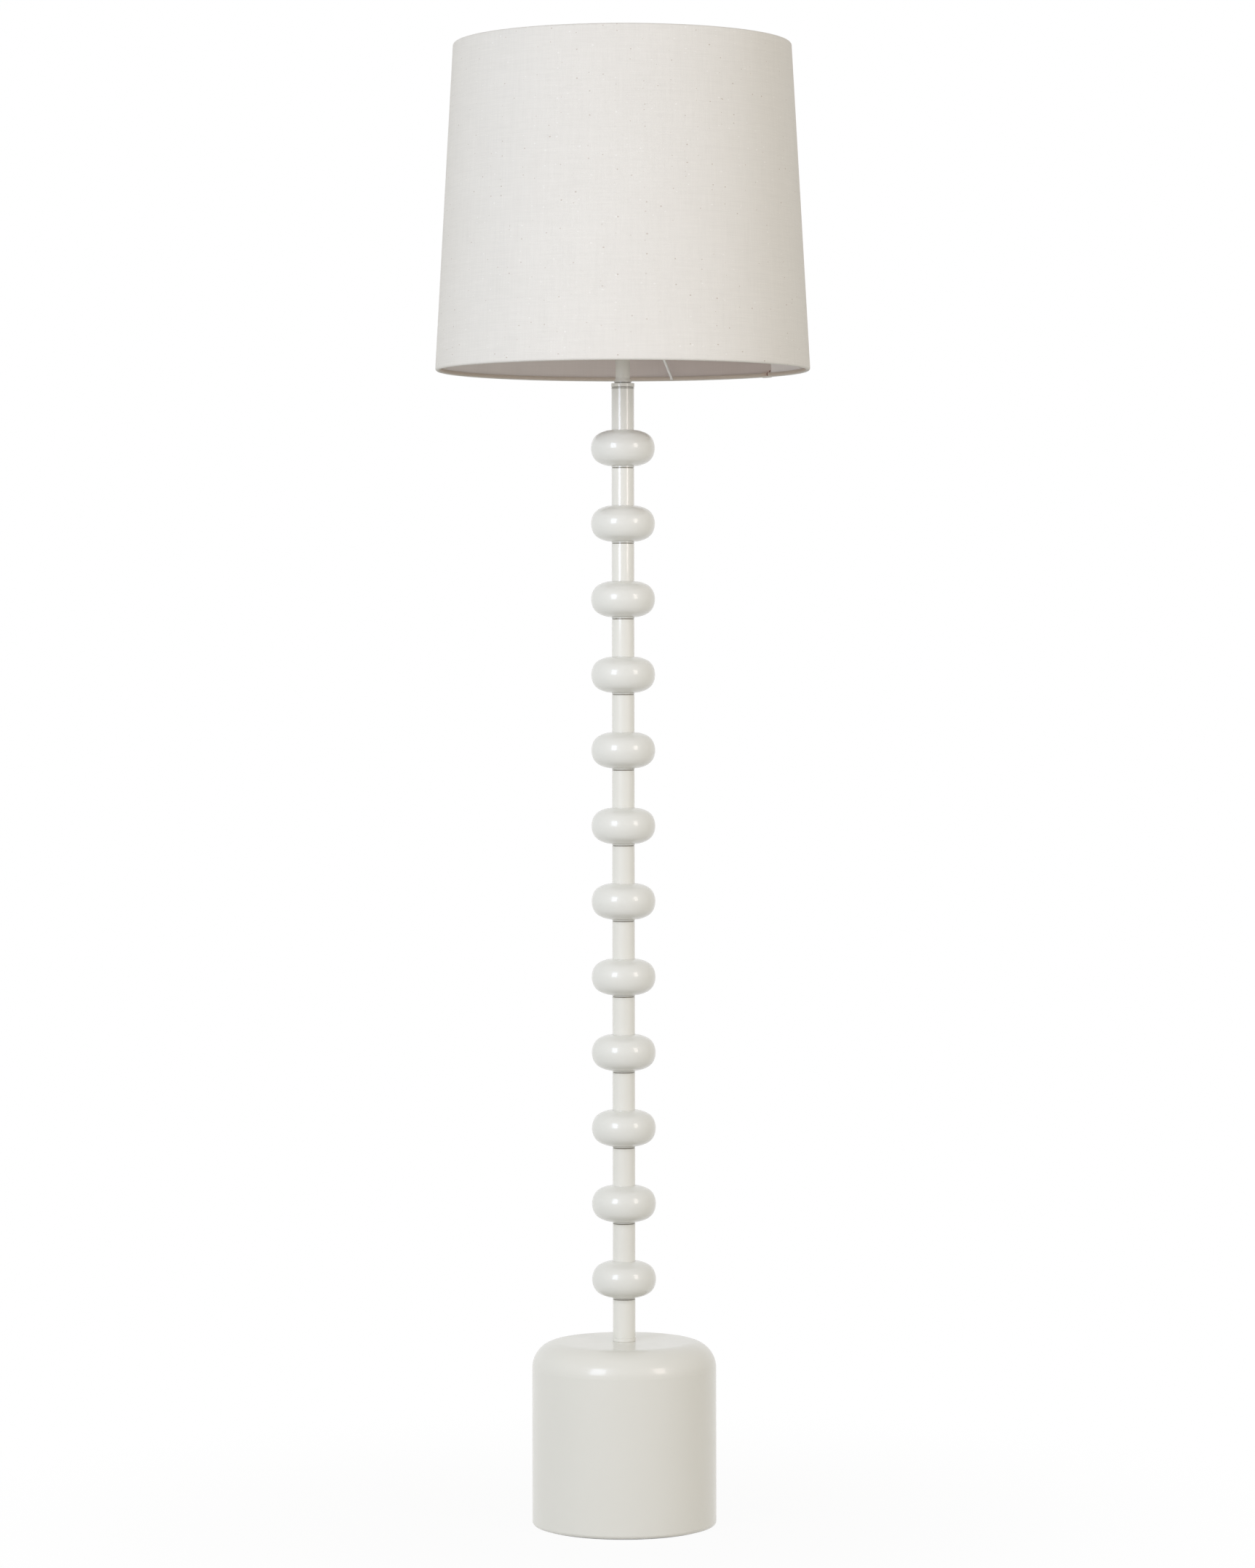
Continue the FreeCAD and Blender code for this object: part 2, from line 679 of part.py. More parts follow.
def make_neck():
    """Sleeve with a waist and a flare at its foot."""
    base = "Size.collar_base_height + Size.collar_height"
    flare_top = "Size.neck_waist_height + Size.neck_flare_height"
    top = "Size.neck_top_height - (" + base + ")"
    turned_piece("neck_sleeve", base, [
        ("Size.pipe_hole_radius", "0"),
        ("Size.neck_waist_radius", "0"),
        ("Size.neck_waist_radius", "Size.neck_waist_height"),
        ("Size.neck_flare_radius", "Size.neck_waist_height"),
        ("Size.neck_flare_radius", flare_top),
        ("Size.neck_radius", flare_top + " + Size.neck_cone_height", "3 * Size.neck_cone_height",
         "right"),
        ("Size.neck_radius", top),
        ("Size.pipe_hole_radius", top),
    ])


def make_pipe():
    """Hollow threaded pipe in two lengths, joined by a round coupling inside the middle tube."""
    tube_piece("pipe_lower", PIPE_BOTTOM, "Size.pipe_radius", "Size.pipe_bore_radius",
               PIPE_JOINT + " - (" + PIPE_BOTTOM + ")")
    tube_piece("pipe_upper", PIPE_JOINT, "Size.pipe_radius", "Size.pipe_bore_radius",
               PIPE_TOP + " - (" + PIPE_JOINT + ")")
    tube_piece("pipe_coupling", PIPE_JOINT + " - Size.coupling_length / 2", "Size.coupling_radius",
               "Size.pipe_radius + Size.bore_clearance", "Size.coupling_length")


def make_column():
    make_foot_ring()
    make_tubes()
    make_beads()
    make_collar()
    make_neck()
    make_pipe()


# ---- lampholder -----------------------------------------------------------------------------

def make_holder_cap():
    """Cup that screws on to the pipe and carries the skirt."""
    bottom = "Size.neck_top_height - Size.shoulder_height"
    boss_top = "-Size.cap_shoulder_drop"
    wall = "Size.holder_wall"
    turned_piece("holder_cap", "Size.shoulder_height", [
        ("Size.pipe_radius + Size.bore_clearance", bottom),
        ("Size.cap_boss_radius", bottom),
        ("Size.cap_boss_radius", boss_top),
        ("Size.holder_radius", "-Size.cap_side_drop", "Size.cap_round", "left"),
        ("Size.holder_radius", "-Size.skirt_drop"),
        ("Size.holder_radius - " + wall, "-Size.skirt_drop"),
        ("Size.holder_radius - " + wall, "-Size.cap_side_drop"),
        ("Size.cap_inner_boss_radius", boss_top + " + " + wall, "Size.cap_round", "right"),
        ("Size.pipe_radius + Size.bore_clearance", boss_top + " + " + wall),
    ])


def make_holder_skirt():
    """Threaded sleeve with the shoulder that the shade rests on."""
    body = new_body("holder_skirt")
    sketch = new_sketch(body, "holder_skirt_outline")
    spigot_radius = "Size.holder_radius - Size.holder_wall - Size.hole_clearance"
    draw_path(sketch, [
        ("Size.skirt_bore_radius", "-Size.skirt_spigot_drop"),
        (spigot_radius, "-Size.skirt_spigot_drop"),
        (spigot_radius, "-Size.skirt_drop"),
        ("Size.holder_radius", "-Size.skirt_drop"),
        ("Size.holder_radius", "-Size.shoulder_thickness"),
        ("Size.shoulder_radius", "-Size.shoulder_thickness"),
        ("Size.shoulder_radius", "0"),
        ("Size.skirt_thread_radius", "0"),
        ("Size.skirt_thread_radius", "Size.skirt_rise - Size.small_chamfer"),
        ("Size.skirt_thread_radius - Size.small_chamfer", "Size.skirt_rise"),
        ("Size.skirt_bore_radius", "Size.skirt_rise"),
    ])
    revolve(body, sketch)
    groove_sketch = new_sketch(body, "holder_skirt_thread_groove")
    middle = "Size.fitter_thickness + Size.thread_pitch * 2"
    draw_path(groove_sketch, [
        ("Size.skirt_thread_radius - Size.thread_depth", middle),
        ("Size.skirt_thread_radius + Size.thread_overcut", middle + " - Size.thread_half_width"),
        ("Size.skirt_thread_radius + Size.thread_overcut", middle + " + Size.thread_half_width"),
    ])
    doc.recompute()
    groove = revolve(body, groove_sketch, "PartDesign::Groove")
    doc.recompute()
    pattern = body.newObject("PartDesign::LinearPattern", "Thread")
    pattern.Originals = [groove]
    pattern.Direction = (origin_feature(body, "Z_Axis"), [""])
    pattern.Occurrences = THREAD_GROOVE_COUNT
    bind(pattern, Length="Size.thread_pitch * %d" % (THREAD_GROOVE_COUNT - 1))
    body.Tip = pattern
    lift(body, "Size.shoulder_height")


def make_holder_insert():
    """Insulating cup that holds the metal parts, with two holes for the terminal screws."""
    body = new_body("holder_insert")
    sketch = new_sketch(body, "holder_insert_outline")
    draw_path(sketch, [
        ("Size.insert_hole_radius", "-Size.insert_drop"),
        ("Size.insert_radius", "-Size.insert_drop"),
        ("Size.insert_radius", "Size.insert_rise"),
        ("Size.insert_wall_radius", "Size.insert_rise"),
        ("Size.insert_wall_radius", "-Size.insert_floor_drop"),
        ("Size.insert_hole_radius", "-Size.insert_floor_drop"),
    ])
    revolve(body, sketch)
    hole_sketch = new_sketch(body, "holder_insert_terminal_holes", "XY_Plane")
    draw_circle(hole_sketch, "left", "Size.terminal_hole_radius", across="-Size.terminal_spacing")
    draw_circle(hole_sketch, "right", "Size.terminal_hole_radius", across="Size.terminal_spacing")
    pocket(body, hole_sketch)
    lift(body, "Size.shoulder_height")


def make_terminal_screws():
    """Two screws that come up into the insert from below."""
    body = new_body("terminal_screws")
    body.AllowCompound = True
    head = new_sketch(body, "terminal_screw_heads", "XY_Plane")
    shank = new_sketch(body, "terminal_screw_shanks", "XY_Plane")
    for side, across in (("left", "-Size.terminal_spacing"), ("right", "Size.terminal_spacing")):
        draw_circle(head, side, "Size.terminal_head_radius", across=across)
        draw_circle(shank, side, "Size.terminal_screw_radius", across=across)
    pad(body, head, "Size.terminal_head_height")
    pad(body, shank, "Size.terminal_head_height + Size.insert_drop - Size.insert_floor_drop"
                     " - Size.terminal_end_gap")
    lift(body, "Size.shoulder_height - Size.insert_drop - Size.terminal_head_height")


def make_screw_shell():
    """Thin metal shell that the bulb screws into, with a flange at the bottom."""
    sheet_edge = "-Size.insert_floor_drop + Size.shell_outer_radius - Size.shell_inner_radius"
    turned_piece("screw_shell", "Size.shoulder_height", [
        ("Size.shell_floor_radius", "-Size.insert_floor_drop"),
        ("Size.shell_outer_radius", "-Size.insert_floor_drop"),
        ("Size.shell_outer_radius", "Size.shell_rise"),
        ("Size.shell_inner_radius", "Size.shell_rise"),
        ("Size.shell_inner_radius", sheet_edge),
        ("Size.shell_floor_radius", sheet_edge),
    ])


def make_centre_contact():
    """Springy strip that rises to meet the bulb's button."""
    body = new_body("centre_contact")
    sketch = new_sketch(body, "centre_contact_strip")
    floor = "-Size.insert_floor_drop"
    top = floor + " + Size.contact_rise"
    draw_path(sketch, [
        ("-Size.contact_heel", floor),
        ("-Size.contact_bend", floor),
        ("-Size.contact_knee", top + " - Size.contact_sheet"),
        ("Size.contact_toe", top + " - Size.contact_sheet"),
        ("Size.contact_toe", top),
        ("-Size.contact_knee - Size.contact_bend_step", top),
        ("-Size.contact_bend - Size.contact_bend_step", floor + " + Size.contact_sheet"),
        ("-Size.contact_heel", floor + " + Size.contact_sheet"),
    ])
    strip = pad(body, sketch, "Size.contact_width")
    strip.Midplane = True
    lift(body, "Size.shoulder_height")


def make_holder():
    make_holder_cap()
    make_holder_skirt()
    make_holder_insert()
    make_terminal_screws()
    make_screw_shell()
    make_centre_contact()


def make_shade_ring():
    """Retaining ring: a knurled flange and a plain collar above it."""
    body = new_body("shade_ring")
    sketch = new_sketch(body, "shade_ring_outline")
    draw_path(sketch, [
        ("Size.ring_bore_radius", "0"),
        ("Size.ring_flange_radius", "0"),
        ("Size.ring_flange_radius", "Size.ring_flange_height"),
        ("Size.ring_collar_radius", "Size.ring_flange_height"),
        ("Size.ring_collar_radius", "Size.ring_height - Size.small_chamfer"),
        ("Size.ring_collar_radius - Size.small_chamfer", "Size.ring_height"),
        ("Size.ring_bore_radius", "Size.ring_height"),
    ])
    revolve(body, sketch)
    groove_sketch = new_sketch(body, "shade_ring_knurl", "XY_Plane")
    draw_circle(groove_sketch, "groove", "Size.knurl_radius",
                across="Size.ring_flange_radius + Size.knurl_offset")
    groove = pocket(body, groove_sketch, "Size.ring_flange_height", reversed_cut=True)
    repeat_round(body, [groove], KNURL_COUNT)
    lift(body, "Size.shoulder_height + Size.fitter_thickness")


# ---- bulb -----------------------------------------------------------------------------------

def make_bulb_contact():
    turned_piece("bulb_contact", "Size.shoulder_height - Size.bulb_button_drop", [
        ("0", "0"),
        ("Size.bulb_button_radius", "Size.bulb_button_height", "Size.bulb_button_round", "left"),
        ("0", "Size.bulb_button_height"),
    ])


def make_bulb_insulator():
    """Glassy cone between the button and the cap."""
    height = "Size.bulb_insulator_height"
    turned_piece("bulb_insulator",
                 "Size.shoulder_height - Size.bulb_button_drop + Size.bulb_button_height", [
                     ("0", "0"),
                     ("Size.bulb_button_radius", "0"),
                     ("Size.bulb_insulator_radius", height + " - Size.bulb_insulator_edge",
                      "Size.bulb_insulator_curve", "right"),
                     ("Size.bulb_insulator_radius", height),
                     ("0", height),
                 ])


def bulb_cap_outline():
    """Section of the screw cap, with a rounded groove for each turn of its thread."""
    bottom = ("(Size.bulb_button_height + Size.bulb_insulator_height - Size.bulb_button_drop"
              " - Size.bulb_cap_seat)")
    bore = "Size.bulb_insulator_radius + Size.hole_clearance"
    crest = "Size.bulb_cap_radius"
    root = "Size.bulb_cap_groove_radius"
    thread_start = bottom + " + Size.bulb_cap_round_height"
    corners = [(bore, bottom), (crest, thread_start, "Size.bulb_cap_round", "left")]
    for turn in range(BULB_THREAD_TURNS):
        start = thread_start + " + %d * Size.bulb_thread_pitch" % turn
        corners.append((root, start + " + Size.bulb_thread_pitch * 0.5"))
        corners.append((crest, start + " + Size.bulb_thread_pitch"))
    corners += [
        (crest, "Size.bulb_cap_rise"),
        (crest + " - Size.bulb_cap_wall", "Size.bulb_cap_rise"),
        (root + " - Size.bulb_cap_wall", "Size.bulb_cap_rise - Size.bulb_cap_plain_height"),
        (root + " - Size.bulb_cap_wall", bottom + " + Size.bulb_cap_lip"),
        (bore, bottom + " + Size.bulb_cap_edge"),
    ]
    return corners


def bulb_glass_outline():
    """Section of the blown glass: a globe, a drawn-in waist and a stem inside the cap."""
    globe = "Size.bulb_globe_radius"
    centre = "Size.bulb_globe_height"
    wall = "Size.bulb_glass_wall"
    waist = "Size.bulb_waist_angle"
    join_x = "(" + globe + " * cos(" + waist + "))"
    join_z = "(" + centre + " - " + globe + " * sin(" + waist + "))"
    inner_x = "((" + globe + " - " + wall + ") * cos(" + waist + "))"
    inner_z = "(" + centre + " - (" + globe + " - " + wall + ") * sin(" + waist + "))"
    rise = "Size.bulb_cap_rise"
    stem = "Size.bulb_stem_radius"
    neck = "Size.bulb_neck_radius"
    neck_top = rise + " + Size.bulb_neck_length"
    curve = "Size.bulb_waist_curve"
    step = "Size.bulb_inner_step"
    return [
        (stem + " - " + wall, rise + " - Size.bulb_stem_depth"),
        (stem, rise + " - Size.bulb_stem_depth"),
        (stem, rise + " - Size.bulb_stem_shoulder"),
        (neck, rise + " + Size.bulb_neck_gap"),
        (neck + " + Size.bulb_neck_flare", neck_top),
        (join_x, join_z, curve, "right"),
        (globe, centre, globe, "left"),
        ("0", centre + " + " + globe, globe, "left"),
        ("0", centre + " + " + globe + " - " + wall),
        (globe + " - " + wall, centre, globe + " - " + wall, "right"),
        (inner_x, inner_z, globe + " - " + wall, "right"),
        (neck + " + Size.bulb_neck_flare - " + wall, neck_top + " + " + step,
         curve + " + " + wall, "left"),
        (neck + " - " + wall, rise + " + Size.bulb_neck_gap + " + step),
        (stem + " - " + wall, rise + " - Size.bulb_stem_shoulder + " + step),
    ]


def make_bulb():
    make_bulb_contact()
    make_bulb_insulator()
    turned_piece("bulb_cap", "Size.shoulder_height", bulb_cap_outline())
    turned_piece("bulb_glass", "Size.shoulder_height", bulb_glass_outline())


# ---- shade ----------------------------------------------------------------------------------

ROLL = "Size.rim_roll_radius"
BOTTOM_WIRE_X = "(Size.shade_bottom_radius - " + ROLL + ")"
TOP_WIRE_X = "(Size.shade_top_radius - " + ROLL + ")"
BOTTOM_WIRE_Z = ROLL
TOP_WIRE_Z = "(Size.shade_height - " + ROLL + ")"
# Angle by which the shade's wall leans in from upright.
LEAN = ("atan((Size.shade_bottom_radius - Size.shade_top_radius)"
        " / (Size.shade_height - 2 * " + ROLL + "))")


def round_wire(wire_x, wire_z, radius, angle):
    """A point on a circle round one of the rim wires."""
    return ("%s + (%s) * cos(%s)" % (wire_x, radius, angle),
            "%s + (%s) * sin(%s)" % (wire_z, radius, angle))


def wall_point(along, depth):
    """A point of the shade's wall: its height above the bottom wire, and its depth from outside."""
    out = "(" + ROLL + " - (" + depth + "))"
    return ("%s - (%s) * tan(%s) + %s / cos(%s)" % (BOTTOM_WIRE_X, along, LEAN, out, LEAN),
            "%s + (%s)" % (BOTTOM_WIRE_Z, along))


def make_shade_cover():
    """Linen wall whose edges roll round the rim wires and tuck in behind the backing."""
    inner = ROLL + " - Size.cover_thickness"
    tail = "Size.rim_tail_angle"
    body = new_body("shade_cover")
    sketch = new_sketch(body, "shade_cover_outline")
    draw_path(sketch, [
        round_wire(BOTTOM_WIRE_X, BOTTOM_WIRE_Z, ROLL, tail),
        round_wire(BOTTOM_WIRE_X, BOTTOM_WIRE_Z, ROLL, "180") + (ROLL, "left"),
        round_wire(BOTTOM_WIRE_X, BOTTOM_WIRE_Z, ROLL, "270") + (ROLL, "left"),
        round_wire(BOTTOM_WIRE_X, BOTTOM_WIRE_Z, ROLL, LEAN) + (ROLL, "left"),
        round_wire(TOP_WIRE_X, TOP_WIRE_Z, ROLL, LEAN),
        round_wire(TOP_WIRE_X, TOP_WIRE_Z, ROLL, "90") + (ROLL, "left"),
        round_wire(TOP_WIRE_X, TOP_WIRE_Z, ROLL, "180") + (ROLL, "left"),
        round_wire(TOP_WIRE_X, TOP_WIRE_Z, ROLL, "-" + tail) + (ROLL, "left"),
        round_wire(TOP_WIRE_X, TOP_WIRE_Z, inner, "-" + tail),
        round_wire(TOP_WIRE_X, TOP_WIRE_Z, inner, "180") + (inner, "right"),
        round_wire(TOP_WIRE_X, TOP_WIRE_Z, inner, "90") + (inner, "right"),
        round_wire(TOP_WIRE_X, TOP_WIRE_Z, inner, LEAN) + (inner, "right"),
        round_wire(BOTTOM_WIRE_X, BOTTOM_WIRE_Z, inner, LEAN),
        round_wire(BOTTOM_WIRE_X, BOTTOM_WIRE_Z, inner, "270") + (inner, "right"),
        round_wire(BOTTOM_WIRE_X, BOTTOM_WIRE_Z, inner, "180") + (inner, "right"),
        round_wire(BOTTOM_WIRE_X, BOTTOM_WIRE_Z, inner, tail) + (inner, "right"),
    ])
    revolve(body, sketch)
    doc.recompute()
    slot = body.newObject("PartDesign::SubtractiveBox", "ArmSlot")
    slot.AttachmentSupport = [(origin_feature(body, "XY_Plane"), "")]
    slot.MapMode = "FlatFace"
    half_width = "Size.arm_slot_width / 2"
    reach = "(" + BOTTOM_WIRE_X + " - " + ROLL + " - Size.cut_margin)"
    slot.AttachmentOffset = FreeCAD.Placement(
        FreeCAD.Vector(0, 0, 0), FreeCAD.Rotation(FreeCAD.Vector(0, 0, 1), value("Size.arm_angle")))
    bind(slot, Length=ROLL + " + Size.cut_margin", Width="Size.arm_slot_width", Height=ROLL + " * 2")
    bind(slot, **{
        "AttachmentOffset.Base.x": "%s * cos(Size.arm_angle) + %s * sin(Size.arm_angle)"
                                   % (reach, half_width),
        "AttachmentOffset.Base.y": "%s * sin(Size.arm_angle) - %s * cos(Size.arm_angle)"
                                   % (reach, half_width),
        "AttachmentOffset.Base.z": "Size.arm_slot_bottom",
    })
    doc.recompute()
    repeat_round(body, [slot], ARM_COUNT)
    lift(body, "Size.shade_bottom_height")


def backing_outline(outer_depth, inner_depth):
    """Section of a sheet behind the linen, from just above one rim wire to just below the other."""
    low = "Size.backing_end_gap"
    high = "Size.shade_height - 2 * " + ROLL + " - Size.backing_end_gap"
    return [
        wall_point(low, inner_depth),
        wall_point(low, outer_depth),
        wall_point(high, outer_depth),
        wall_point(high, inner_depth),
    ]


def make_backing():
    outer = "Size.cover_thickness + Size.backing_gap"
    inner = outer + " + Size.backing_thickness"
    turned_piece("shade_backing", "Size.shade_bottom_height", backing_outline(outer, inner))


def make_backing_lap():
    """Strip where the backing's end lies over its start, just clear of the rolled rims."""
    outer = "Size.cover_thickness + Size.backing_gap + Size.backing_thickness"
    inner = outer + " + Size.lap_thickness"
    low = ROLL + " + Size.lap_end_gap"
    high = "Size.shade_height - 3 * " + ROLL + " - Size.lap_end_gap"
    body = turned_piece("backing_lap", "Size.shade_bottom_height", [
        wall_point(low, inner),
        wall_point(low, outer),
        wall_point(high, outer),
        wall_point(high, inner),
    ], angle="Size.lap_width / Size.shade_bottom_radius * 180 / pi")
    body.setExpression("Placement.Rotation.Angle", "Size.seam_angle * 1 deg")


def make_rim_wire(label, wire_x, wire_z):
    wire = doc.addObject("Part::Torus", label)
    wire.Label = label
    bind(wire, Radius1=wire_x, Radius2="Size.rim_wire_radius")
    lift(wire, "Size.shade_bottom_height + " + wire_z)
    return wire


def make_spider_arms(bottom_wire):
    """Three bent wires from the bottom rim wire up and in to the underside of the fitter ring."""
    level = "(Size.shoulder_height - Size.shade_bottom_height - Size.arm_wire_radius)"
    rise = "(" + level + " - " + BOTTOM_WIRE_Z + ")"
    run = "(" + BOTTOM_WIRE_X + " - Size.arm_turn_radius)"
    slope = "atan(" + rise + " / " + run + ")"
    tangent = "(Size.arm_bend_radius * tan(" + slope + " / 2))"
    body = new_body("spider_arm_wires")
    body.AllowCompound = True
    spine = new_sketch(body, "spider_arm_route")
    draw_path(spine, [
        (BOTTOM_WIRE_X, BOTTOM_WIRE_Z),
        ("Size.arm_turn_radius + %s * cos(%s)" % (tangent, slope),
         "%s - %s * sin(%s)" % (level, tangent, slope)),
        ("Size.arm_turn_radius - " + tangent, level, "Size.arm_bend_radius", "left"),
        ("Size.arm_inner_radius", level),
    ], closed=False)
    doc.recompute()
    section = body.newObject("Sketcher::SketchObject", "spider_arm_section")
    section.AttachmentSupport = [(spine, "Edge1")]
    section.MapMode = "NormalToEdge"
    draw_circle(section, "wire", "Size.arm_wire_radius")
    doc.recompute()
    arm = body.newObject("PartDesign::AdditivePipe", "Wire")
    arm.Profile = section
    arm.Spine = (spine, ["Edge1", "Edge2", "Edge3"])
    doc.recompute()
    repeat_round(body, [arm], ARM_COUNT)
    body.Placement = FreeCAD.Placement(
        FreeCAD.Vector(0, 0, 0), FreeCAD.Rotation(FreeCAD.Vector(0, 0, 1), value("Size.arm_angle")))
    body.setExpression("Placement.Rotation.Angle", "Size.arm_angle * 1 deg")
    lift(body, "Size.shade_bottom_height")
    arms = doc.addObject("Part::Cut", "spider_arms")
    arms.Label = "spider_arms"
    arms.Base = body
    arms.Tool = bottom_wire


def make_shade():
    make_shade_cover()
    make_backing()
    make_backing_lap()
    make_rim_wire("rim_wire_top", TOP_WIRE_X, TOP_WIRE_Z)
    bottom_wire = make_rim_wire("rim_wire_bottom", BOTTOM_WIRE_X, BOTTOM_WIRE_Z)
    make_spider_arms(bottom_wire)
    tube_piece("fitter_ring", "Size.shoulder_height", "Size.fitter_radius", "Size.fitter_bore_radius",
               "Size.fitter_thickness")


# ---- assembly, checks and files -------------------------------------------------------------

make_base()
make_column()
make_holder()
make_shade_ring()
make_bulb()
make_shade()
doc.recompute()

HELPERS = ["spider_arm_wires"]
pieces = [item for item in doc.Objects
          if item.TypeId in ("PartDesign::Body", "Part::Torus", "Part::Cut")
          and item.Label not in HELPERS]

for item in doc.Objects:
    if "Invalid" in item.State or "Error" in item.State:
        raise RuntimeError("%s failed: %s" % (item.Label, item.State))
for piece in pieces:
    if piece.Shape.isNull() or not piece.Shape.isValid():
        raise RuntimeError("%s has no valid shape" % piece.Label)
    piece.Shape.exportStep("parts/%s.step" % piece.Label)
    solid_count, volume = len(piece.Shape.Solids), piece.Shape.Volume / 1000
    print("%-18s %d solid, %9.2f cm3" % (piece.Label, solid_count, volume))
print(len(pieces), "pieces")
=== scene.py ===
import math
from collections import namedtuple

import bmesh
import bpy
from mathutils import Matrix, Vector


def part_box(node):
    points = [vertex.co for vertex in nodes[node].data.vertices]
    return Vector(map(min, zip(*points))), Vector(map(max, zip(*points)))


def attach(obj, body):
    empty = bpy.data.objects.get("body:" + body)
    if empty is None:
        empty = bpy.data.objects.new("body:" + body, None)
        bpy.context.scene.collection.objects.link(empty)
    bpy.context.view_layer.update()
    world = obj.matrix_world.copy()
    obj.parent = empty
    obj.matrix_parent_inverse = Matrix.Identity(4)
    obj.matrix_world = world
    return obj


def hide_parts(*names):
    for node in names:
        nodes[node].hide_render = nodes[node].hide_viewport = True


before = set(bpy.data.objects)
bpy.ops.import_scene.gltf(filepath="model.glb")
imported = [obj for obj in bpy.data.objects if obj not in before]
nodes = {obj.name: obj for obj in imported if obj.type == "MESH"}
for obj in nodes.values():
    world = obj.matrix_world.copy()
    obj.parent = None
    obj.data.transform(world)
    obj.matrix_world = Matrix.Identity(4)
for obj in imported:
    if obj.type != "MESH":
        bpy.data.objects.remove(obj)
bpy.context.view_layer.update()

# Sizes are in metres and angles in degrees.

CAMERA_PLACE = (0.0047, -5.433, 0.9353)
CAMERA_SENSOR_MM = 36
CAMERA_LENS_MM = 114.7
CAMERA_SHIFT_Y = -0.0761
CAMERA_ROLL = 0.087
CAMERA_REACH = 60

BEADS = 12

# The linen. Azimuths run from +X towards +Y, and angles round a wire from outwards to upwards.
LINEN_THICKNESS = 0.0006
HEM_GAP_ANGLE = 64.0
HEM_STEPS = 15
WALL_STEPS = 44
COLUMNS_ROUND = 288
SEAM_AZIMUTH = 35.35
SEAM_LAP = 0.013
SEAM_RAMP = 0.0022
SEAM_STEPS = 4
LAP_CLEARANCE = 0.00005
LAP_HEM_START = 120.0
ARM_AZIMUTHS = (74.1, 194.1, 314.1)
ARM_SLIT_WIDTH = 0.0036
ARM_SLIT_END = 207.0
SHARP_EDGE_ANGLE = 40.0

# Ranges over which a mark fades in or out. Depths are under a round node's outline.
JOINT_DEPTHS = (0.0004, 0.0001)
COLLAR_GROOVE_DEPTHS = (0.00065, 0.00025)
NECK_WAIST_ABOVE_FOOT = (0.0009, 0.0012)
INNER_SIDE_FROM_WIRE = (-0.0016, -0.0004)
# Band of the hem tucked inside the bottom rim that gets painted shade.
TUCKED_HEM_SHADE_BOTTOM_FROM_WIRE = (-0.0022, -0.0010)
TUCKED_HEM_SHADE_TOP_FROM_WIRE = (0.0030, 0.0045)
# Stretch round the shade over which the lining goes from painted shade to its plain colour.
LINING_SHADE_ROUND_WAY = (-0.55, -0.19)

# The drop of glue inside the bottom rim: where its middle is, how it bends, and how it fades out.
DROP_PAST_SEAM = 0.0026
DROP_ABOVE_WIRE = 0.0020
DROP_CURVE = 120.0
DROP_HALF_WIDTHS = (0.0005, 0.0014)
DROP_HALF_HEIGHTS = (0.0026, 0.0036)
BLUSH_REACH = (0.001, 0.014)

THREAD_PITCH = 0.0007

# Linear colours. A pair holds the ends between which a surface varies.
PAINT = ((0.738, 0.731, 0.683), (0.763, 0.757, 0.711))
# Painted shade: the dark colour put in the collar's groove and on the neck's waist under its flare.
PAINTED_GROOVE_SHADE = (0.16, 0.145, 0.105)
LACQUER = ((0.742, 0.743, 0.706), (0.764, 0.765, 0.731))
# Bare wood darkened with painted shade, for the joint under each bead.
BARE_WOOD_AND_SHADE = (0.16, 0.14, 0.095)
ZINC = (0.62, 0.62, 0.60)
BRASS = (0.80, 0.62, 0.32)
ALUMINIUM = (0.78, 0.79, 0.80)
IRON = ((0.035, 0.034, 0.033), (0.085, 0.080, 0.076))
FELT = ((0.045, 0.045, 0.048), (0.16, 0.155, 0.15))
GLAND_PLASTIC = (0.74, 0.735, 0.69)
HOLDER_PLASTIC = (0.84, 0.84, 0.82)
INSERT_PLASTIC = (0.80, 0.79, 0.76)
BLACK_GLASS = (0.02, 0.02, 0.02)
OPAL = ((0.87, 0.87, 0.85), (0.91, 0.91, 0.895))
ENAMEL = ((0.84, 0.84, 0.835), (0.90, 0.90, 0.89))
LINEN = ((0.757, 0.739, 0.707), (0.782, 0.766, 0.736))
PALE_SLUB = (0.90, 0.89, 0.87)
DARK_FLECK = (0.38, 0.29, 0.23)
# Painted shade on the hem tucked inside the bottom rim.
TUCKED_HEM_SHADE = (0.64, 0.56, 0.49)
# The lining's darker end is painted shade, used beside the seam.
LINING = ((0.650, 0.573, 0.548), (0.905, 0.868, 0.856))
GLUE_DROP = (0.16, 0.045, 0.025)
GLUE_BLUSH = (0.60, 0.36, 0.29)

# The studio. The world's light depends on the upward part of its direction.
WORLD_COLOUR = (1.0, 0.975, 0.89)
WALLS_TO_CEILING = (0.35, 0.85)
WALLS_TO_CEILING_LIGHT = (0.745, 0.36)
FLOOR_COLOUR = (0.60, 0.59, 0.56)
FLOOR_SIZE = 60
SHADOW_RADII = (0.1, 0.9)
WHITE_AT_SHADOW_RADII = (0.95, 1.0)

NOISE_RANGE = (0.3, 0.7)
RISING = (0.0, 1.0)
FALLING = (1.0, 0.0)


# ---- node trees -----------------------------------------------------------------------------

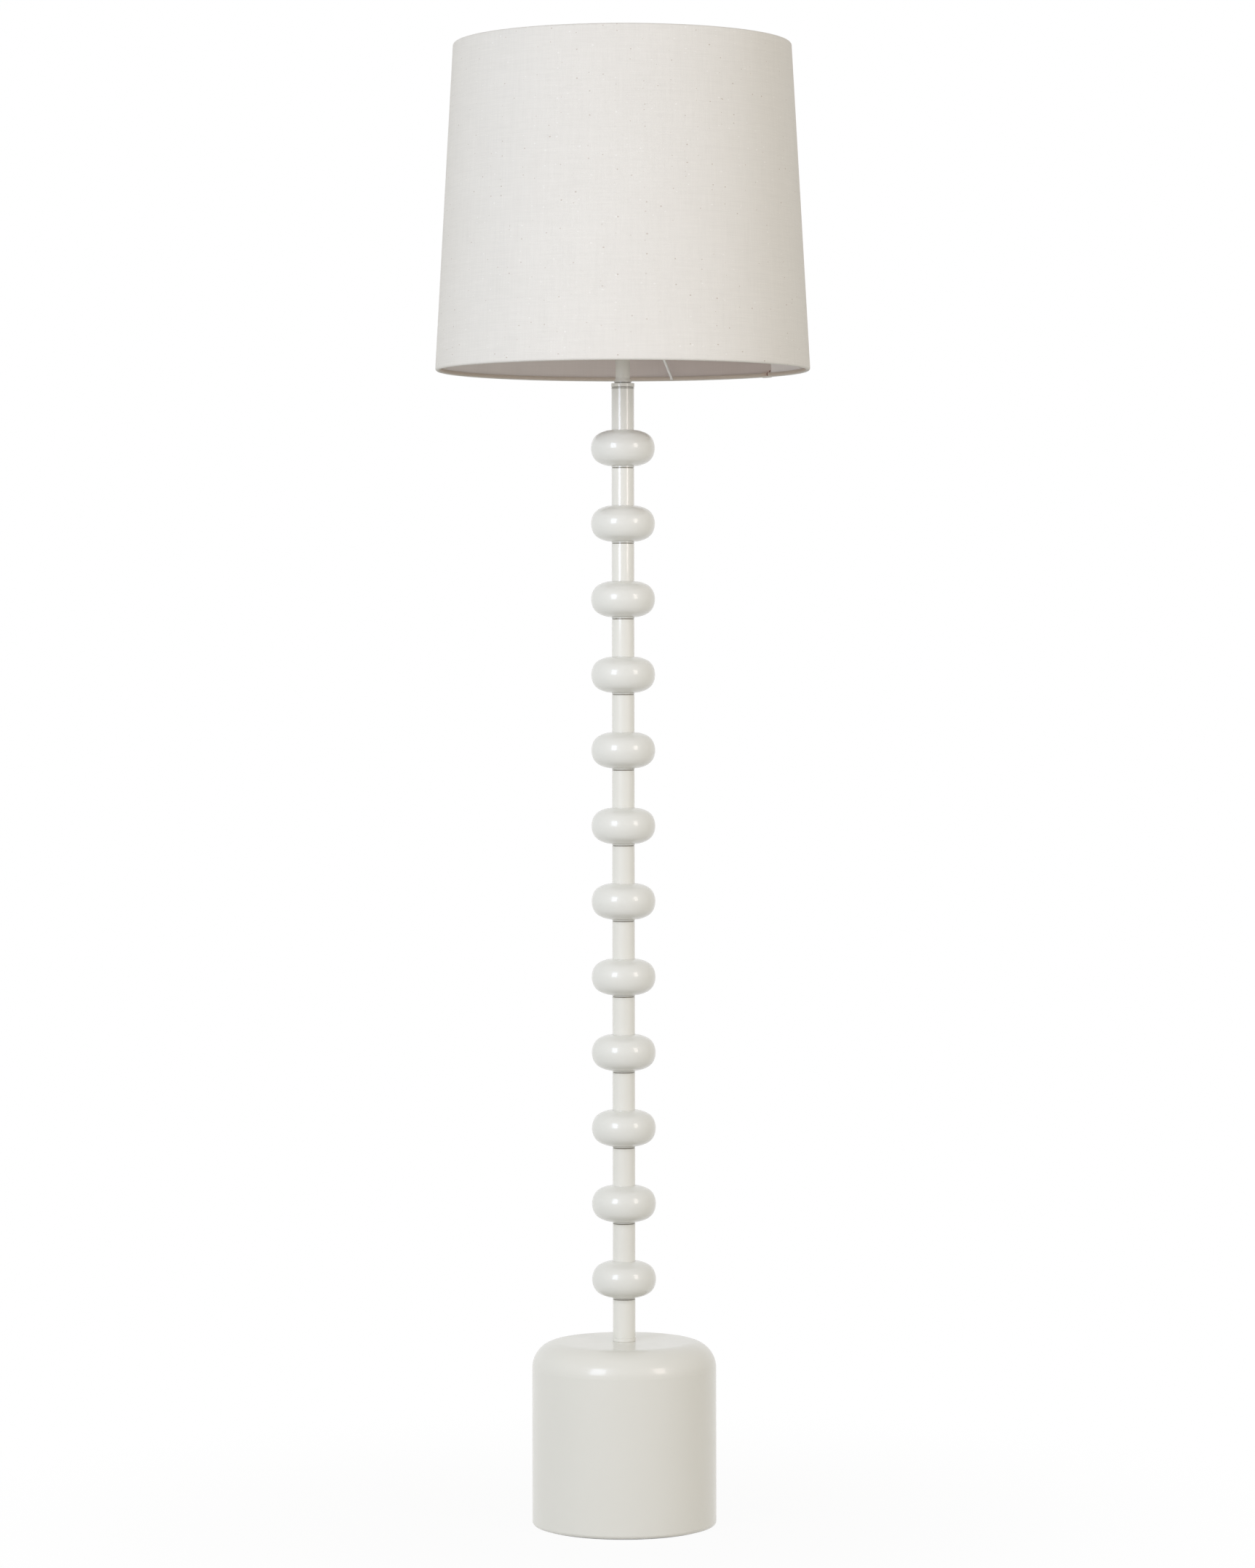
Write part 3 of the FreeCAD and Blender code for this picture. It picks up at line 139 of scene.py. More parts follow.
class Nodes:
    """A node tree that starts empty, and short ways to build it."""

    def __init__(self, owner, output_kind):
        owner.use_nodes = True
        self.tree = owner.node_tree
        self.tree.nodes.clear()
        self.output = self.node(output_kind)

    def node(self, kind, **settings):
        made = self.tree.nodes.new(kind)
        for name, setting in settings.items():
            setattr(made, name, setting)
        return made

    def put(self, socket, source):
        """Link a socket to another node's output, or set it to a number, vector or colour."""
        if isinstance(source, bpy.types.NodeSocket):
            self.tree.links.new(source, socket)
        elif socket.type == "RGBA":
            socket.default_value = (*source, 1.0)
        else:
            socket.default_value = source

    def feed(self, node, **inputs):
        """Set or link a node's inputs by name, with _ for a blank."""
        for name, source in inputs.items():
            self.put(node.inputs[name.replace("_", " ")], source)
        return node

    def surface(self, shader):
        self.feed(self.output, Surface=shader.outputs[0])

    def math(self, operation, first, second=0.0):
        made = self.node("ShaderNodeMath", operation=operation)
        self.put(made.inputs[0], first)
        self.put(made.inputs[1], second)
        return made.outputs[0]

    def plus(self, first, second):
        return self.math("ADD", first, second)

    def minus(self, first, second):
        return self.math("SUBTRACT", first, second)

    def times(self, first, second):
        return self.math("MULTIPLY", first, second)

    def spread(self, source, old_range, new_range, smooth=False):
        """Carry a number from one range to another, and hold it at the ends."""
        made = self.node("ShaderNodeMapRange", clamp=True)
        if smooth:
            made.interpolation_type = "SMOOTHSTEP"
        self.feed(made, Value=source, From_Min=old_range[0], From_Max=old_range[1],
                  To_Min=new_range[0], To_Max=new_range[1])
        return made.outputs["Result"]

    def place(self):
        """The point on the surface, in the lamp's own frame."""
        return self.node("ShaderNodeTexCoord").outputs["Object"]

    def parts(self, vector):
        split = self.node("ShaderNodeSeparateXYZ")
        self.put(split.inputs[0], vector)
        return tuple(split.outputs)

    def vector(self, x, y, z=0.0):
        made = self.feed(self.node("ShaderNodeCombineXYZ"), X=x, Y=y, Z=z)
        return made.outputs["Vector"]

    def away_from_axis(self, place):
        """Distance of a point from the column's axis."""
        flat = self.node("ShaderNodeVectorMath", operation="MULTIPLY")
        self.put(flat.inputs[0], place)
        self.put(flat.inputs[1], (1, 1, 0))
        length = self.node("ShaderNodeVectorMath", operation="LENGTH")
        self.put(length.inputs[0], flat.outputs["Vector"])
        return length.outputs["Value"]

    def mix_shaders(self, amount, first, second):
        made = self.node("ShaderNodeMixShader")
        for socket, source in zip(made.inputs, (amount, first.outputs[0], second.outputs[0])):
            self.put(socket, source)
        return made

    def seen_or_mirrored(self):
        """1 for a ray that shows the background, straight or in metal or glass, and 0 for its light."""
        path = self.node("ShaderNodeLightPath")
        seen = self.math("MAXIMUM", path.outputs["Is Camera Ray"], path.outputs["Is Glossy Ray"])
        return self.math("MAXIMUM", seen, path.outputs["Is Transmission Ray"])


class Finish(Nodes):
    """A material with one Principled shader, and short ways to drive it."""

    def __init__(self, name, **uniform):
        self.material = bpy.data.materials.new(name)
        super().__init__(self.material, "ShaderNodeOutputMaterial")
        self.shader = self.feed(self.node("ShaderNodeBsdfPrincipled"), **uniform)
        self.surface(self.shader)

    def noise(self, place, scale, detail=2.0, roughness=0.5):
        made = self.node("ShaderNodeTexNoise")
        self.feed(made, Vector=place, Scale=scale, Detail=detail, Roughness=roughness)
        return made.outputs["Fac"]

    def mix(self, amount, first, second):
        """A colour between two others."""
        made = self.node("ShaderNodeMix", data_type="RGBA")
        factor, colour_a, colour_b = made.inputs[0], made.inputs[6], made.inputs[7]
        self.put(factor, amount)
        self.put(colour_a, first)
        self.put(colour_b, second)
        return made.outputs[2]

    def brighten(self, colour, amount):
        """A colour times a number near 1."""
        made = self.node("ShaderNodeVectorMath", operation="SCALE")
        self.put(made.inputs[0], colour)
        self.feed(made, Scale=amount)
        return made.outputs["Vector"]

    def colour(self, source):
        self.feed(self.shader, Base_Color=source)

    def rough(self, source, ends, source_range=NOISE_RANGE):
        """Roughness that goes from one end to the other as its source crosses a range."""
        self.feed(self.shader, Roughness=self.spread(source, source_range, ends))

    def bump(self, height, depth, strength):
        """Raise the surface by a height field, with its full swing given in metres."""
        made = self.feed(self.node("ShaderNodeBump"), Distance=depth, Strength=strength, Height=height)
        self.feed(self.shader, Normal=made.outputs["Normal"])

    def give(self, *names):
        """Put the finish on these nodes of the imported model."""
        for name in names:
            slots = nodes[name].data.materials
            slots.clear()
            slots.append(self.material)


def numbered(name, count):
    return [f"{name}_{number:02d}" for number in range(1, count + 1)]


def shaded(colour, share):
    return tuple(share * part for part in colour)


# ---- base, column, lampholder and bulb ------------------------------------------------------

def sunk(finish, place, node, depths):
    """1 where the surface lies under a round node's outline by the first depth, 0 by the second."""
    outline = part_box(node)[1].x
    return finish.spread(finish.away_from_axis(place), [outline - depth for depth in depths], FALLING)


# Where the collar's groove gets painted shade.
def collar_groove(finish, place):
    return sunk(finish, place, "column_collar", COLLAR_GROOVE_DEPTHS)


def neck_waist(finish, place):
    """1 on the narrow waist under the neck's flare, where shade is painted."""
    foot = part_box("neck_sleeve")[0].z
    height = finish.parts(place)[2]
    return finish.spread(height, [foot + rise for rise in NECK_WAIST_ABOVE_FOOT], FALLING)


def sprayed_paint(name, nodes_with_it, coat=0.5, coat_roughness=0.10, painted_shade_mask=None):
    """Satin off-white paint with a faint orange peel, on the metal parts.

    Where the mask function given last gives 1, in a groove or under a flare, dark painted shade goes over
    the paint. It gives 0 elsewhere.
    """
    finish = Finish(name, Coat_Weight=coat, Coat_Roughness=coat_roughness, Specular_IOR_Level=0.5)
    place = finish.place()
    paint = finish.mix(finish.noise(place, scale=9.0, detail=3.0), *PAINT)
    # Painted shade, dark in a groove or under a flare.
    if painted_shade_mask:
        paint = finish.mix(painted_shade_mask(finish, place), paint, PAINTED_GROOVE_SHADE)
    finish.colour(paint)
    smear = finish.noise(place, scale=38.0, detail=3.0)
    finish.rough(smear, (0.31, 0.39))
    orange_peel = finish.noise(place, scale=620.0, detail=1.0)
    finish.bump(orange_peel, depth=0.00004, strength=0.35)
    finish.give(*nodes_with_it)


def bead_lacquer():
    """Thick glossy lacquer over turned wood, which is bare in the joint under each bead and darkened there
    with painted shade.
    """
    finish = Finish("bead_lacquer", Coat_Weight=0.6, Coat_Roughness=0.06, Specular_IOR_Level=0.5)
    place = finish.place()
    lacquer = finish.mix(finish.noise(place, scale=26.0, detail=3.0), *LACQUER)
    # The joint under each bead: bare wood, made darker than bare wood to paint in the shade there.
    joint = sunk(finish, place, "column_tube_01", JOINT_DEPTHS)
    finish.colour(finish.mix(joint, lacquer, BARE_WOOD_AND_SHADE))
    smear = finish.noise(place, scale=55.0, detail=3.0)
    finish.rough(smear, (0.29, 0.37))
    height = finish.parts(place)[2]
    turning_lines = finish.noise(finish.vector(0.0, 0.0, height), scale=900.0, detail=2.0)
    orange_peel = finish.noise(place, scale=480.0, detail=1.0)
    finish.bump(finish.plus(finish.times(turning_lines, 0.35), orange_peel), depth=0.00004, strength=0.35)
    finish.give(*numbered("bead", BEADS))


def plain_metal(name, colour, nodes_with_it, roughness, scratch_scale):
    """Bare metal with fine scratches in every direction."""
    finish = Finish(name, Metallic=1.0)
    scratches = finish.noise(finish.place(), scale=scratch_scale, detail=6.0, roughness=0.7)
    finish.colour(finish.mix(scratches, shaded(colour, 0.86), colour))
    finish.rough(scratches, (roughness - 0.07, roughness + 0.1))
    finish.bump(scratches, depth=0.00003, strength=0.4)
    finish.give(*nodes_with_it)


def cast_ballast():
    """Rough iron casting with a thin dull coat."""
    finish = Finish("cast_ballast", Metallic=0.4)
    grain = finish.noise(finish.place(), scale=420.0, detail=5.0, roughness=0.65)
    finish.colour(finish.mix(grain, *IRON))
    finish.rough(grain, (0.6, 0.85))
    finish.bump(grain, depth=0.0004, strength=0.6)
    finish.give("ballast_disc")


def pressed_felt():
    """Matted dark fibres."""
    finish = Finish("pressed_felt", Sheen_Weight=0.4, Sheen_Roughness=0.6)
    fibres = finish.noise(finish.place(), scale=1400.0, detail=6.0, roughness=0.75)
    finish.colour(finish.mix(fibres, *FELT))
    finish.rough(fibres, (0.85, 1.0), source_range=(0.2, 0.8))
    finish.bump(fibres, depth=0.0006, strength=0.7)
    finish.give("foot_pad")


def moulded_plastic(name, colour, nodes_with_it, roughness):
    """Moulded plastic with a fine spark-eroded grain."""
    finish = Finish(name, Specular_IOR_Level=0.5)
    place = finish.place()
    finish.colour(finish.mix(finish.noise(place, scale=60.0, detail=2.0), shaded(colour, 0.96), colour))
    grain = finish.noise(place, scale=1500.0, detail=2.0)
    finish.rough(grain, (roughness - 0.04, roughness + 0.06))
    finish.bump(grain, depth=0.00004, strength=0.5)
    finish.give(*nodes_with_it)


def opal_glass():
    """Milky glass that lets light in a little way."""
    finish = Finish("opal_glass", Coat_Weight=1.0, Coat_Roughness=0.03,
                    Subsurface_Weight=0.35, Subsurface_Scale=0.004)
    cloud = finish.noise(finish.place(), scale=30.0, detail=2.0)
    finish.colour(finish.mix(cloud, *OPAL))
    finish.rough(cloud, (0.28, 0.34))
    finish.give("bulb_glass")


def wire_enamel():
    """White dipped enamel, a little uneven along the wire."""
    finish = Finish("wire_enamel", Coat_Weight=0.5, Coat_Roughness=0.12)
    flow = finish.noise(finish.place(), scale=160.0, detail=2.0)
    finish.colour(finish.mix(flow, *ENAMEL))
    finish.rough(flow, (0.24, 0.36))
    finish.bump(flow, depth=0.0001, strength=0.4)
    finish.give("spider_arms", "fitter_ring", "rim_wire_top", "rim_wire_bottom")


# ---- shade ----------------------------------------------------------------------------------

def rim(node):
    """(radius of the wire's centre line, its height) of a rim wire."""
    low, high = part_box(node)
    wire_radius = (high.z - low.z) / 2
    return high.x - wire_radius, low.z + wire_radius


def shade_radius():
    """Mean radius of the shade's wall."""
    return (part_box("rim_wire_bottom")[1].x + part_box("rim_wire_top")[1].x) / 2


class ShadeFinish(Finish):
    """A finish of the shade's wall, with the distance round it and the height at hand.

    The distance is 0 opposite the seam, and it jumps from half a turn to minus half at the seam.
    """

    def __init__(self, name, **uniform):
        super().__init__(name, **uniform)
        x, y, self.height = self.parts(self.place())
        seam = math.radians(SEAM_AZIMUTH)
        away_from_seam = self.plus(self.times(x, -math.cos(seam)), self.times(y, -math.sin(seam)))
        sideways = self.plus(self.times(x, math.sin(seam)), self.times(y, -math.cos(seam)))
        turn = self.math("ARCTAN2", sideways, away_from_seam)
        self.round_way = self.times(turn, shade_radius())

    def cloud(self, scale, detail):
        return self.noise(self.vector(self.round_way, self.height), scale, detail)

    def streaks(self, across, up):
        """Noise drawn out along the threads, with the size of a streak both ways."""
        place = self.vector(self.math("DIVIDE", self.round_way, across),
                            self.math("DIVIDE", self.height, up))
        return self.noise(place, scale=1.0, detail=2.0, roughness=0.6)

    def specks(self, spacing, size, offset):
        """A sparse scatter of short dashes, a little longer than they are high."""
        column = self.plus(self.math("DIVIDE", self.round_way, spacing), offset)
        row = self.math("DIVIDE", self.height, spacing * 0.7)
        cells = self.node("ShaderNodeTexVoronoi", voronoi_dimensions="2D")
        self.feed(cells, Vector=self.vector(column, row), Scale=1.0, Randomness=1.0)
        chance = self.node("ShaderNodeSeparateColor")
        self.put(chance.inputs[0], cells.outputs["Color"])
        reach = self.times(self.math("POWER", chance.outputs["Red"], 3.0), size / spacing)
        nearness = self.minus(reach, cells.outputs["Distance"])
        return self.spread(nearness, (0.0, 0.25 * size / spacing), RISING)

    def inner_side(self):
        """Near the bottom rim: 1 on the cloth that looks into the shade, and 0 on its outside."""
        wire_radius = rim("rim_wire_bottom")[0]
        radii = [wire_radius + away for away in INNER_SIDE_FROM_WIRE]
        return self.spread(self.away_from_axis(self.place()), radii, FALLING)

    def tucked_edge(self):
        """1 where the cloth turns up inside the bottom rim, which is painted darker and browner as shade."""
        wire_height = rim("rim_wire_bottom")[1]
        bottom = [wire_height + away for away in TUCKED_HEM_SHADE_BOTTOM_FROM_WIRE]
        top = [wire_height + away for away in TUCKED_HEM_SHADE_TOP_FROM_WIRE]
        band = self.times(self.spread(self.height, bottom, RISING), self.spread(self.height, top, FALLING))
        return self.times(self.inner_side(), band)

    def stained(self, colour):
        """A curved drop of red-brown glue inside the bottom rim, beside the seam."""
        past_seam = self.plus(self.round_way, math.pi * shade_radius())
        rise = self.minus(self.height, rim("rim_wire_bottom")[1] + DROP_ABOVE_WIRE)
        curve = self.times(self.times(rise, rise), DROP_CURVE)
        away = self.minus(self.plus(past_seam, curve), DROP_PAST_SEAM)
        stroke = self.spread(self.math("ABSOLUTE", away), DROP_HALF_WIDTHS, FALLING, smooth=True)
        level = self.spread(self.math("ABSOLUTE", rise), DROP_HALF_HEIGHTS, FALLING, smooth=True)
        beside = self.times(self.math("GREATER_THAN", away, 0.0), level)
        blush = self.times(self.spread(away, BLUSH_REACH, (0.35, 0.0)), beside)
        drop = self.times(self.times(stroke, level), 0.85)
        return self.mix(drop, self.mix(blush, colour, GLUE_BLUSH), GLUE_DROP)


def woven_linen():
    """Plain-woven natural linen, with uneven threads, pale slubs and small dark flecks."""
    finish = ShadeFinish("woven_linen", Sheen_Weight=0.12, Sheen_Roughness=0.5,
                         Specular_IOR_Level=0.25)
    waves = math.pi / THREAD_PITCH
    warp = finish.math("SINE", finish.times(finish.round_way, waves))
    weft = finish.math("SINE", finish.times(finish.height, waves))
    weave = finish.times(warp, weft)

    fine_upright = finish.streaks(across=0.0011, up=0.030)
    fine_level = finish.streaks(across=0.030, up=0.0010)
    broad_upright = finish.streaks(across=0.0042, up=0.11)
    broad_level = finish.streaks(across=0.09, up=0.0036)
    threads = finish.plus(finish.times(fine_upright, 0.9), finish.times(fine_level, 1.1))
    bands = finish.plus(broad_upright, broad_level)
    tone = finish.plus(finish.times(finish.minus(threads, 1.0), 0.10),
                       finish.times(finish.minus(bands, 1.0), 0.05))
    tone = finish.plus(tone, finish.times(weave, 0.015))
    cloth = finish.brighten(finish.mix(finish.cloud(scale=14.0, detail=2.0), *LINEN), finish.plus(tone, 1.0))

    pale = finish.specks(spacing=0.013, size=0.0014, offset=7.3)
    cloth = finish.mix(finish.times(pale, 0.6), cloth, PALE_SLUB)
    dark = finish.specks(spacing=0.015, size=0.0012, offset=0.0)
    cloth = finish.mix(finish.times(dark, 0.5), cloth, DARK_FLECK)
    # Painted shade on the hem tucked inside the bottom rim.
    cloth = finish.mix(finish.tucked_edge(), cloth, TUCKED_HEM_SHADE)
    finish.colour(finish.mix(finish.inner_side(), cloth, finish.stained(cloth)))
    finish.rough(threads, (0.82, 0.95), source_range=(0.7, 1.3))

    slub = finish.spread(fine_level, (0.62, 0.80), RISING)
    relief = finish.plus(finish.times(weave, 0.4), finish.times(threads, 0.9))
    finish.bump(finish.plus(relief, slub), depth=0.00016, strength=0.6)
    return finish.material


def laminate_lining():
    """Smooth sheet inside the shade, with the cloth's threads faintly pressed through.

    Painted shade darkens it beside the seam, on one side of it.
    """
    finish = ShadeFinish("laminate_lining", Specular_IOR_Level=0.3)
    threads = finish.plus(finish.streaks(across=0.05, up=0.0016),
                          finish.streaks(across=0.0018, up=0.05))
    cloud = finish.cloud(scale=10.0, detail=3.0)
    tone = finish.plus(finish.times(threads, 0.06), finish.spread(cloud, NOISE_RANGE, (0.92, 0.96)))
    # Painted shade: darker towards the seam on one side, plain further round.
    lining_unshaded_share = finish.spread(finish.round_way, LINING_SHADE_ROUND_WAY, RISING)
    sheet = finish.brighten(finish.mix(lining_unshaded_share, *LINING), tone)
    finish.colour(finish.stained(sheet))
    finish.rough(cloud, (0.48, 0.6))
    finish.bump(threads, depth=0.00005, strength=0.4)
    finish.give("shade_backing", "backing_lap")


# ---- linen cover ----------------------------------------------------------------------------

# A point of the cloth's section: (radius, height) on its outer and its inner face, and the
# angle round the bottom wire, or 0 past that wire.
SectionPoint = namedtuple("SectionPoint", "outer inner low_angle")


def linen_section():
    """Section of the cloth, from the edge tucked in at the bottom rim to the one at the top."""
    low_r, low_z = rim("rim_wire_bottom")
    high_r, high_z = rim("rim_wire_top")
    roll = low_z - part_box("shade_cover")[0].z
    lean = math.degrees(math.atan2(low_r - high_r, high_z - low_z))

    def point(centre_r, centre_z, angle, low_angle=0.0):
        turn = math.radians(angle)
        outer, inner = [(centre_r + radius * math.cos(turn), centre_z + radius * math.sin(turn))
                        for radius in (roll, roll - LINEN_THICKNESS)]
        return SectionPoint(outer, inner, low_angle)

    section = []
    for step in range(HEM_STEPS + 1):
        angle = HEM_GAP_ANGLE + (360 + lean - HEM_GAP_ANGLE) * step / HEM_STEPS
        section.append(point(low_r, low_z, angle, angle))
    for step in range(1, WALL_STEPS):
        share = step / WALL_STEPS
        section.append(point(low_r + (high_r - low_r) * share, low_z + (high_z - low_z) * share, lean))
    for step in range(HEM_STEPS + 1):
        angle = lean + (360 - HEM_GAP_ANGLE - lean) * step / HEM_STEPS
        section.append(point(high_r, high_z, angle))
    return section


def linen_columns(radius):
    """Angles round the shade at which the cloth has points, each with its share of the lap's step.

    The cloth runs once round from the seam, and then on over its own start for the lap.
    """
    start = math.radians(SEAM_AZIMUTH)
    end = start + 2 * math.pi
    lap, ramp = SEAM_LAP / radius, SEAM_RAMP / radius
    shares = [step / SEAM_STEPS for step in range(1, SEAM_STEPS + 1)]
    columns = [start + 2 * math.pi * step / COLUMNS_ROUND for step in range(COLUMNS_ROUND + 1)]
    columns += [end + lap * share for share in shares]
    columns += [end - ramp * share for share in shares]
    for azimuth in ARM_AZIMUTHS:
        middle = start + (math.radians(azimuth) - start) % (2 * math.pi)
        half_slit = ARM_SLIT_WIDTH / 2 / radius
        columns += [middle - half_slit, middle + half_slit]
    stepped = []
    for angle in sorted(columns):
        share = min(1.0, max(0.0, (angle - (end - ramp)) / ramp))
        stepped.append((angle, share * share * (3 - 2 * share)))
    return stepped


def linen_ring(mesh, section, angle, lift):
    """The cloth's points on one side of the axis, as (outer, inner) pairs."""
    outward = Vector((math.cos(angle), math.sin(angle), 0))
    ring = []
    for outer, inner, _ in section:
        away = Vector((outer[0] - inner[0], outer[1] - inner[1])).normalized()
        step = away * (lift * (LINEN_THICKNESS + LAP_CLEARANCE))
        ring.append([mesh.verts.new(outward * (r + step.x) + Vector((0, 0, z + step.y)))
                     for r, z in (outer, inner)])
    return ring


def in_slit(angle, radius):
    """Whether an angle lies inside one of the slits that let the arms out of the bottom hem."""
    for azimuth in ARM_AZIMUTHS:
        away = (angle - math.radians(azimuth) + math.pi) % (2 * math.pi) - math.pi
        if abs(away) * radius < ARM_SLIT_WIDTH / 2:
            return True
    return False


def linen_spans(section, columns, radius):
    """First and last point of the section that each strip between two columns has."""
    def hem_point(angle):
        return next(index for index, part in enumerate(section) if part.low_angle >= angle)

    last = len(section) - 1
    slit_end, lap_start = hem_point(ARM_SLIT_END), hem_point(LAP_HEM_START)
    seam_end = columns[0][0] + 2 * math.pi
    spans = []
    for (before, _), (after, _) in zip(columns, columns[1:]):
        middle = (before + after) / 2
        if in_slit(middle, radius):
            spans.append((slit_end, last))
        elif middle > seam_end:
            spans.append((lap_start, last - lap_start))
        else:
            spans.append((0, last))
    return spans


def make_strip(mesh, here, there, first, final):
    """The cloth between two rings: its outer and inner face and its two long edges."""
    for low in range(first, final):
        high = low + 1
        mesh.faces.new((here[low][0], there[low][0], there[high][0], here[high][0]))
        mesh.faces.new((here[low][1], here[high][1], there[high][1], there[low][1]))
    mesh.faces.new((here[first][0], here[first][1], there[first][1], there[first][0]))
    mesh.faces.new((here[final][0], there[final][0], there[final][1], here[final][1]))


def close_cut(mesh, ring, one_end, other_end):
    """Close the cloth's cut edge between two points of its section."""
    for low in range(min(one_end, other_end), max(one_end, other_end)):
        high = low + 1
        mesh.faces.new((ring[low][0], ring[high][0], ring[high][1], ring[low][1]))


def tidy_mesh(mesh):
    """Drop unused points, turn all faces outwards, and shade all but sharp edges smooth."""
    loose = [vert for vert in mesh.verts if not vert.link_faces]
    bmesh.ops.delete(mesh, geom=loose, context="VERTS")
    bmesh.ops.recalc_face_normals(mesh, faces=mesh.faces)
    for face in mesh.faces:
        face.smooth = True
    for edge in mesh.edges:
        if len(edge.link_faces) == 2 and edge.calc_face_angle(0) > math.radians(SHARP_EDGE_ANGLE):
            edge.smooth = False


def make_linen_cover(material):
    """The cloth as one thin closed sheet: rolled hems, slits for the arms and a lapped seam."""
    section = linen_section()
    radius = rim("rim_wire_bottom")[0]
    columns = linen_columns(radius)
    spans = linen_spans(section, columns, radius)

    mesh = bmesh.new()
    rings = [linen_ring(mesh, section, angle, lift) for angle, lift in columns]
    for here, there, span in zip(rings, rings[1:], spans):
        make_strip(mesh, here, there, *span)
    close_cut(mesh, rings[0], *spans[0])
    close_cut(mesh, rings[-1], *spans[-1])
    for ring, before, after in zip(rings[1:], spans, spans[1:]):
        close_cut(mesh, ring, before[0], after[0])
        close_cut(mesh, ring, before[1], after[1])
    tidy_mesh(mesh)

    data = bpy.data.meshes.new("linen_cover")
    mesh.to_mesh(data)
    mesh.free()
    data.materials.append(material)
    cover = bpy.data.objects.new("linen_cover", data)
    bpy.context.scene.collection.objects.link(cover)
    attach(cover, "shade")
    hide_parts("shade_cover")


# ---- studio ---------------------------------------------------------------------------------

def make_camera():
    data = bpy.data.cameras.new("camera")
    data.sensor_width = CAMERA_SENSOR_MM
    data.lens = CAMERA_LENS_MM
    data.shift_y = CAMERA_SHIFT_Y
    data.clip_end = CAMERA_REACH
    camera = bpy.data.objects.new("camera", data)
    camera.location = CAMERA_PLACE
    camera.rotation_euler = (math.radians(90), math.radians(CAMERA_ROLL), 0)
    bpy.context.scene.collection.objects.link(camera)
    bpy.context.scene.camera = camera


def softbox(name, azimuth, distance, height, aim_height, size, watts, colour):
    """A rectangular lamp that faces a point of the column, with its azimuth from front to right."""
    data = bpy.data.lights.new(name, "AREA")
    data.shape = "RECTANGLE"
    data.size, data.size_y = size
    data.energy = watts
    data.color = colour
    lamp = bpy.data.objects.new(name, data)
    turn = math.radians(azimuth)
    lamp.location = (distance * math.sin(turn), -distance * math.cos(turn), height)
    aim = Vector((0, 0, aim_height)) - lamp.location
    lamp.rotation_euler = aim.to_track_quat("-Z", "Y").to_euler()
    bpy.context.scene.collection.objects.link(lamp)
    return lamp


def make_lamps():
    """Two softboxes that the glossy parts mirror, and two soft fill lights that they don't."""
    softbox("key", azimuth=-34, distance=4.2, height=1.98, aim_height=0.75, size=(1.5, 2.0),
            watts=65, colour=(0.78, 0.84, 1.0))
    softbox("fill", azimuth=47, distance=4.2, height=1.98, aim_height=0.75, size=(1.1, 1.8),
            watts=33, colour=(1.0, 0.90, 0.86))
    card = softbox("card", azimuth=5, distance=1.7, height=1.08, aim_height=1.22, size=(2.4, 0.5),
                   watts=4.8, colour=(1.0, 0.98, 0.96))
    wall = softbox("wall", azimuth=-85, distance=4.0, height=1.30, aim_height=1.00, size=(2.5, 2.2),
                   watts=19, colour=(0.94, 0.97, 1.0))
    card.visible_glossy = wall.visible_glossy = False


def make_world():
    """Slightly warm light from pale walls, less from the ceiling, on a white background."""
    world = bpy.data.worlds.new("studio")
    bpy.context.scene.world = world
    tree = Nodes(world, "ShaderNodeOutputWorld")
    upward = tree.parts(tree.node("ShaderNodeTexCoord").outputs["Generated"])[2]
    strength = tree.spread(upward, WALLS_TO_CEILING, WALLS_TO_CEILING_LIGHT, smooth=True)
    light = tree.feed(tree.node("ShaderNodeBackground"), Color=WORLD_COLOUR, Strength=strength)
    white = tree.feed(tree.node("ShaderNodeBackground"), Color=(1, 1, 1), Strength=1.0)
    tree.surface(tree.mix_shaders(tree.seen_or_mirrored(), light, white))


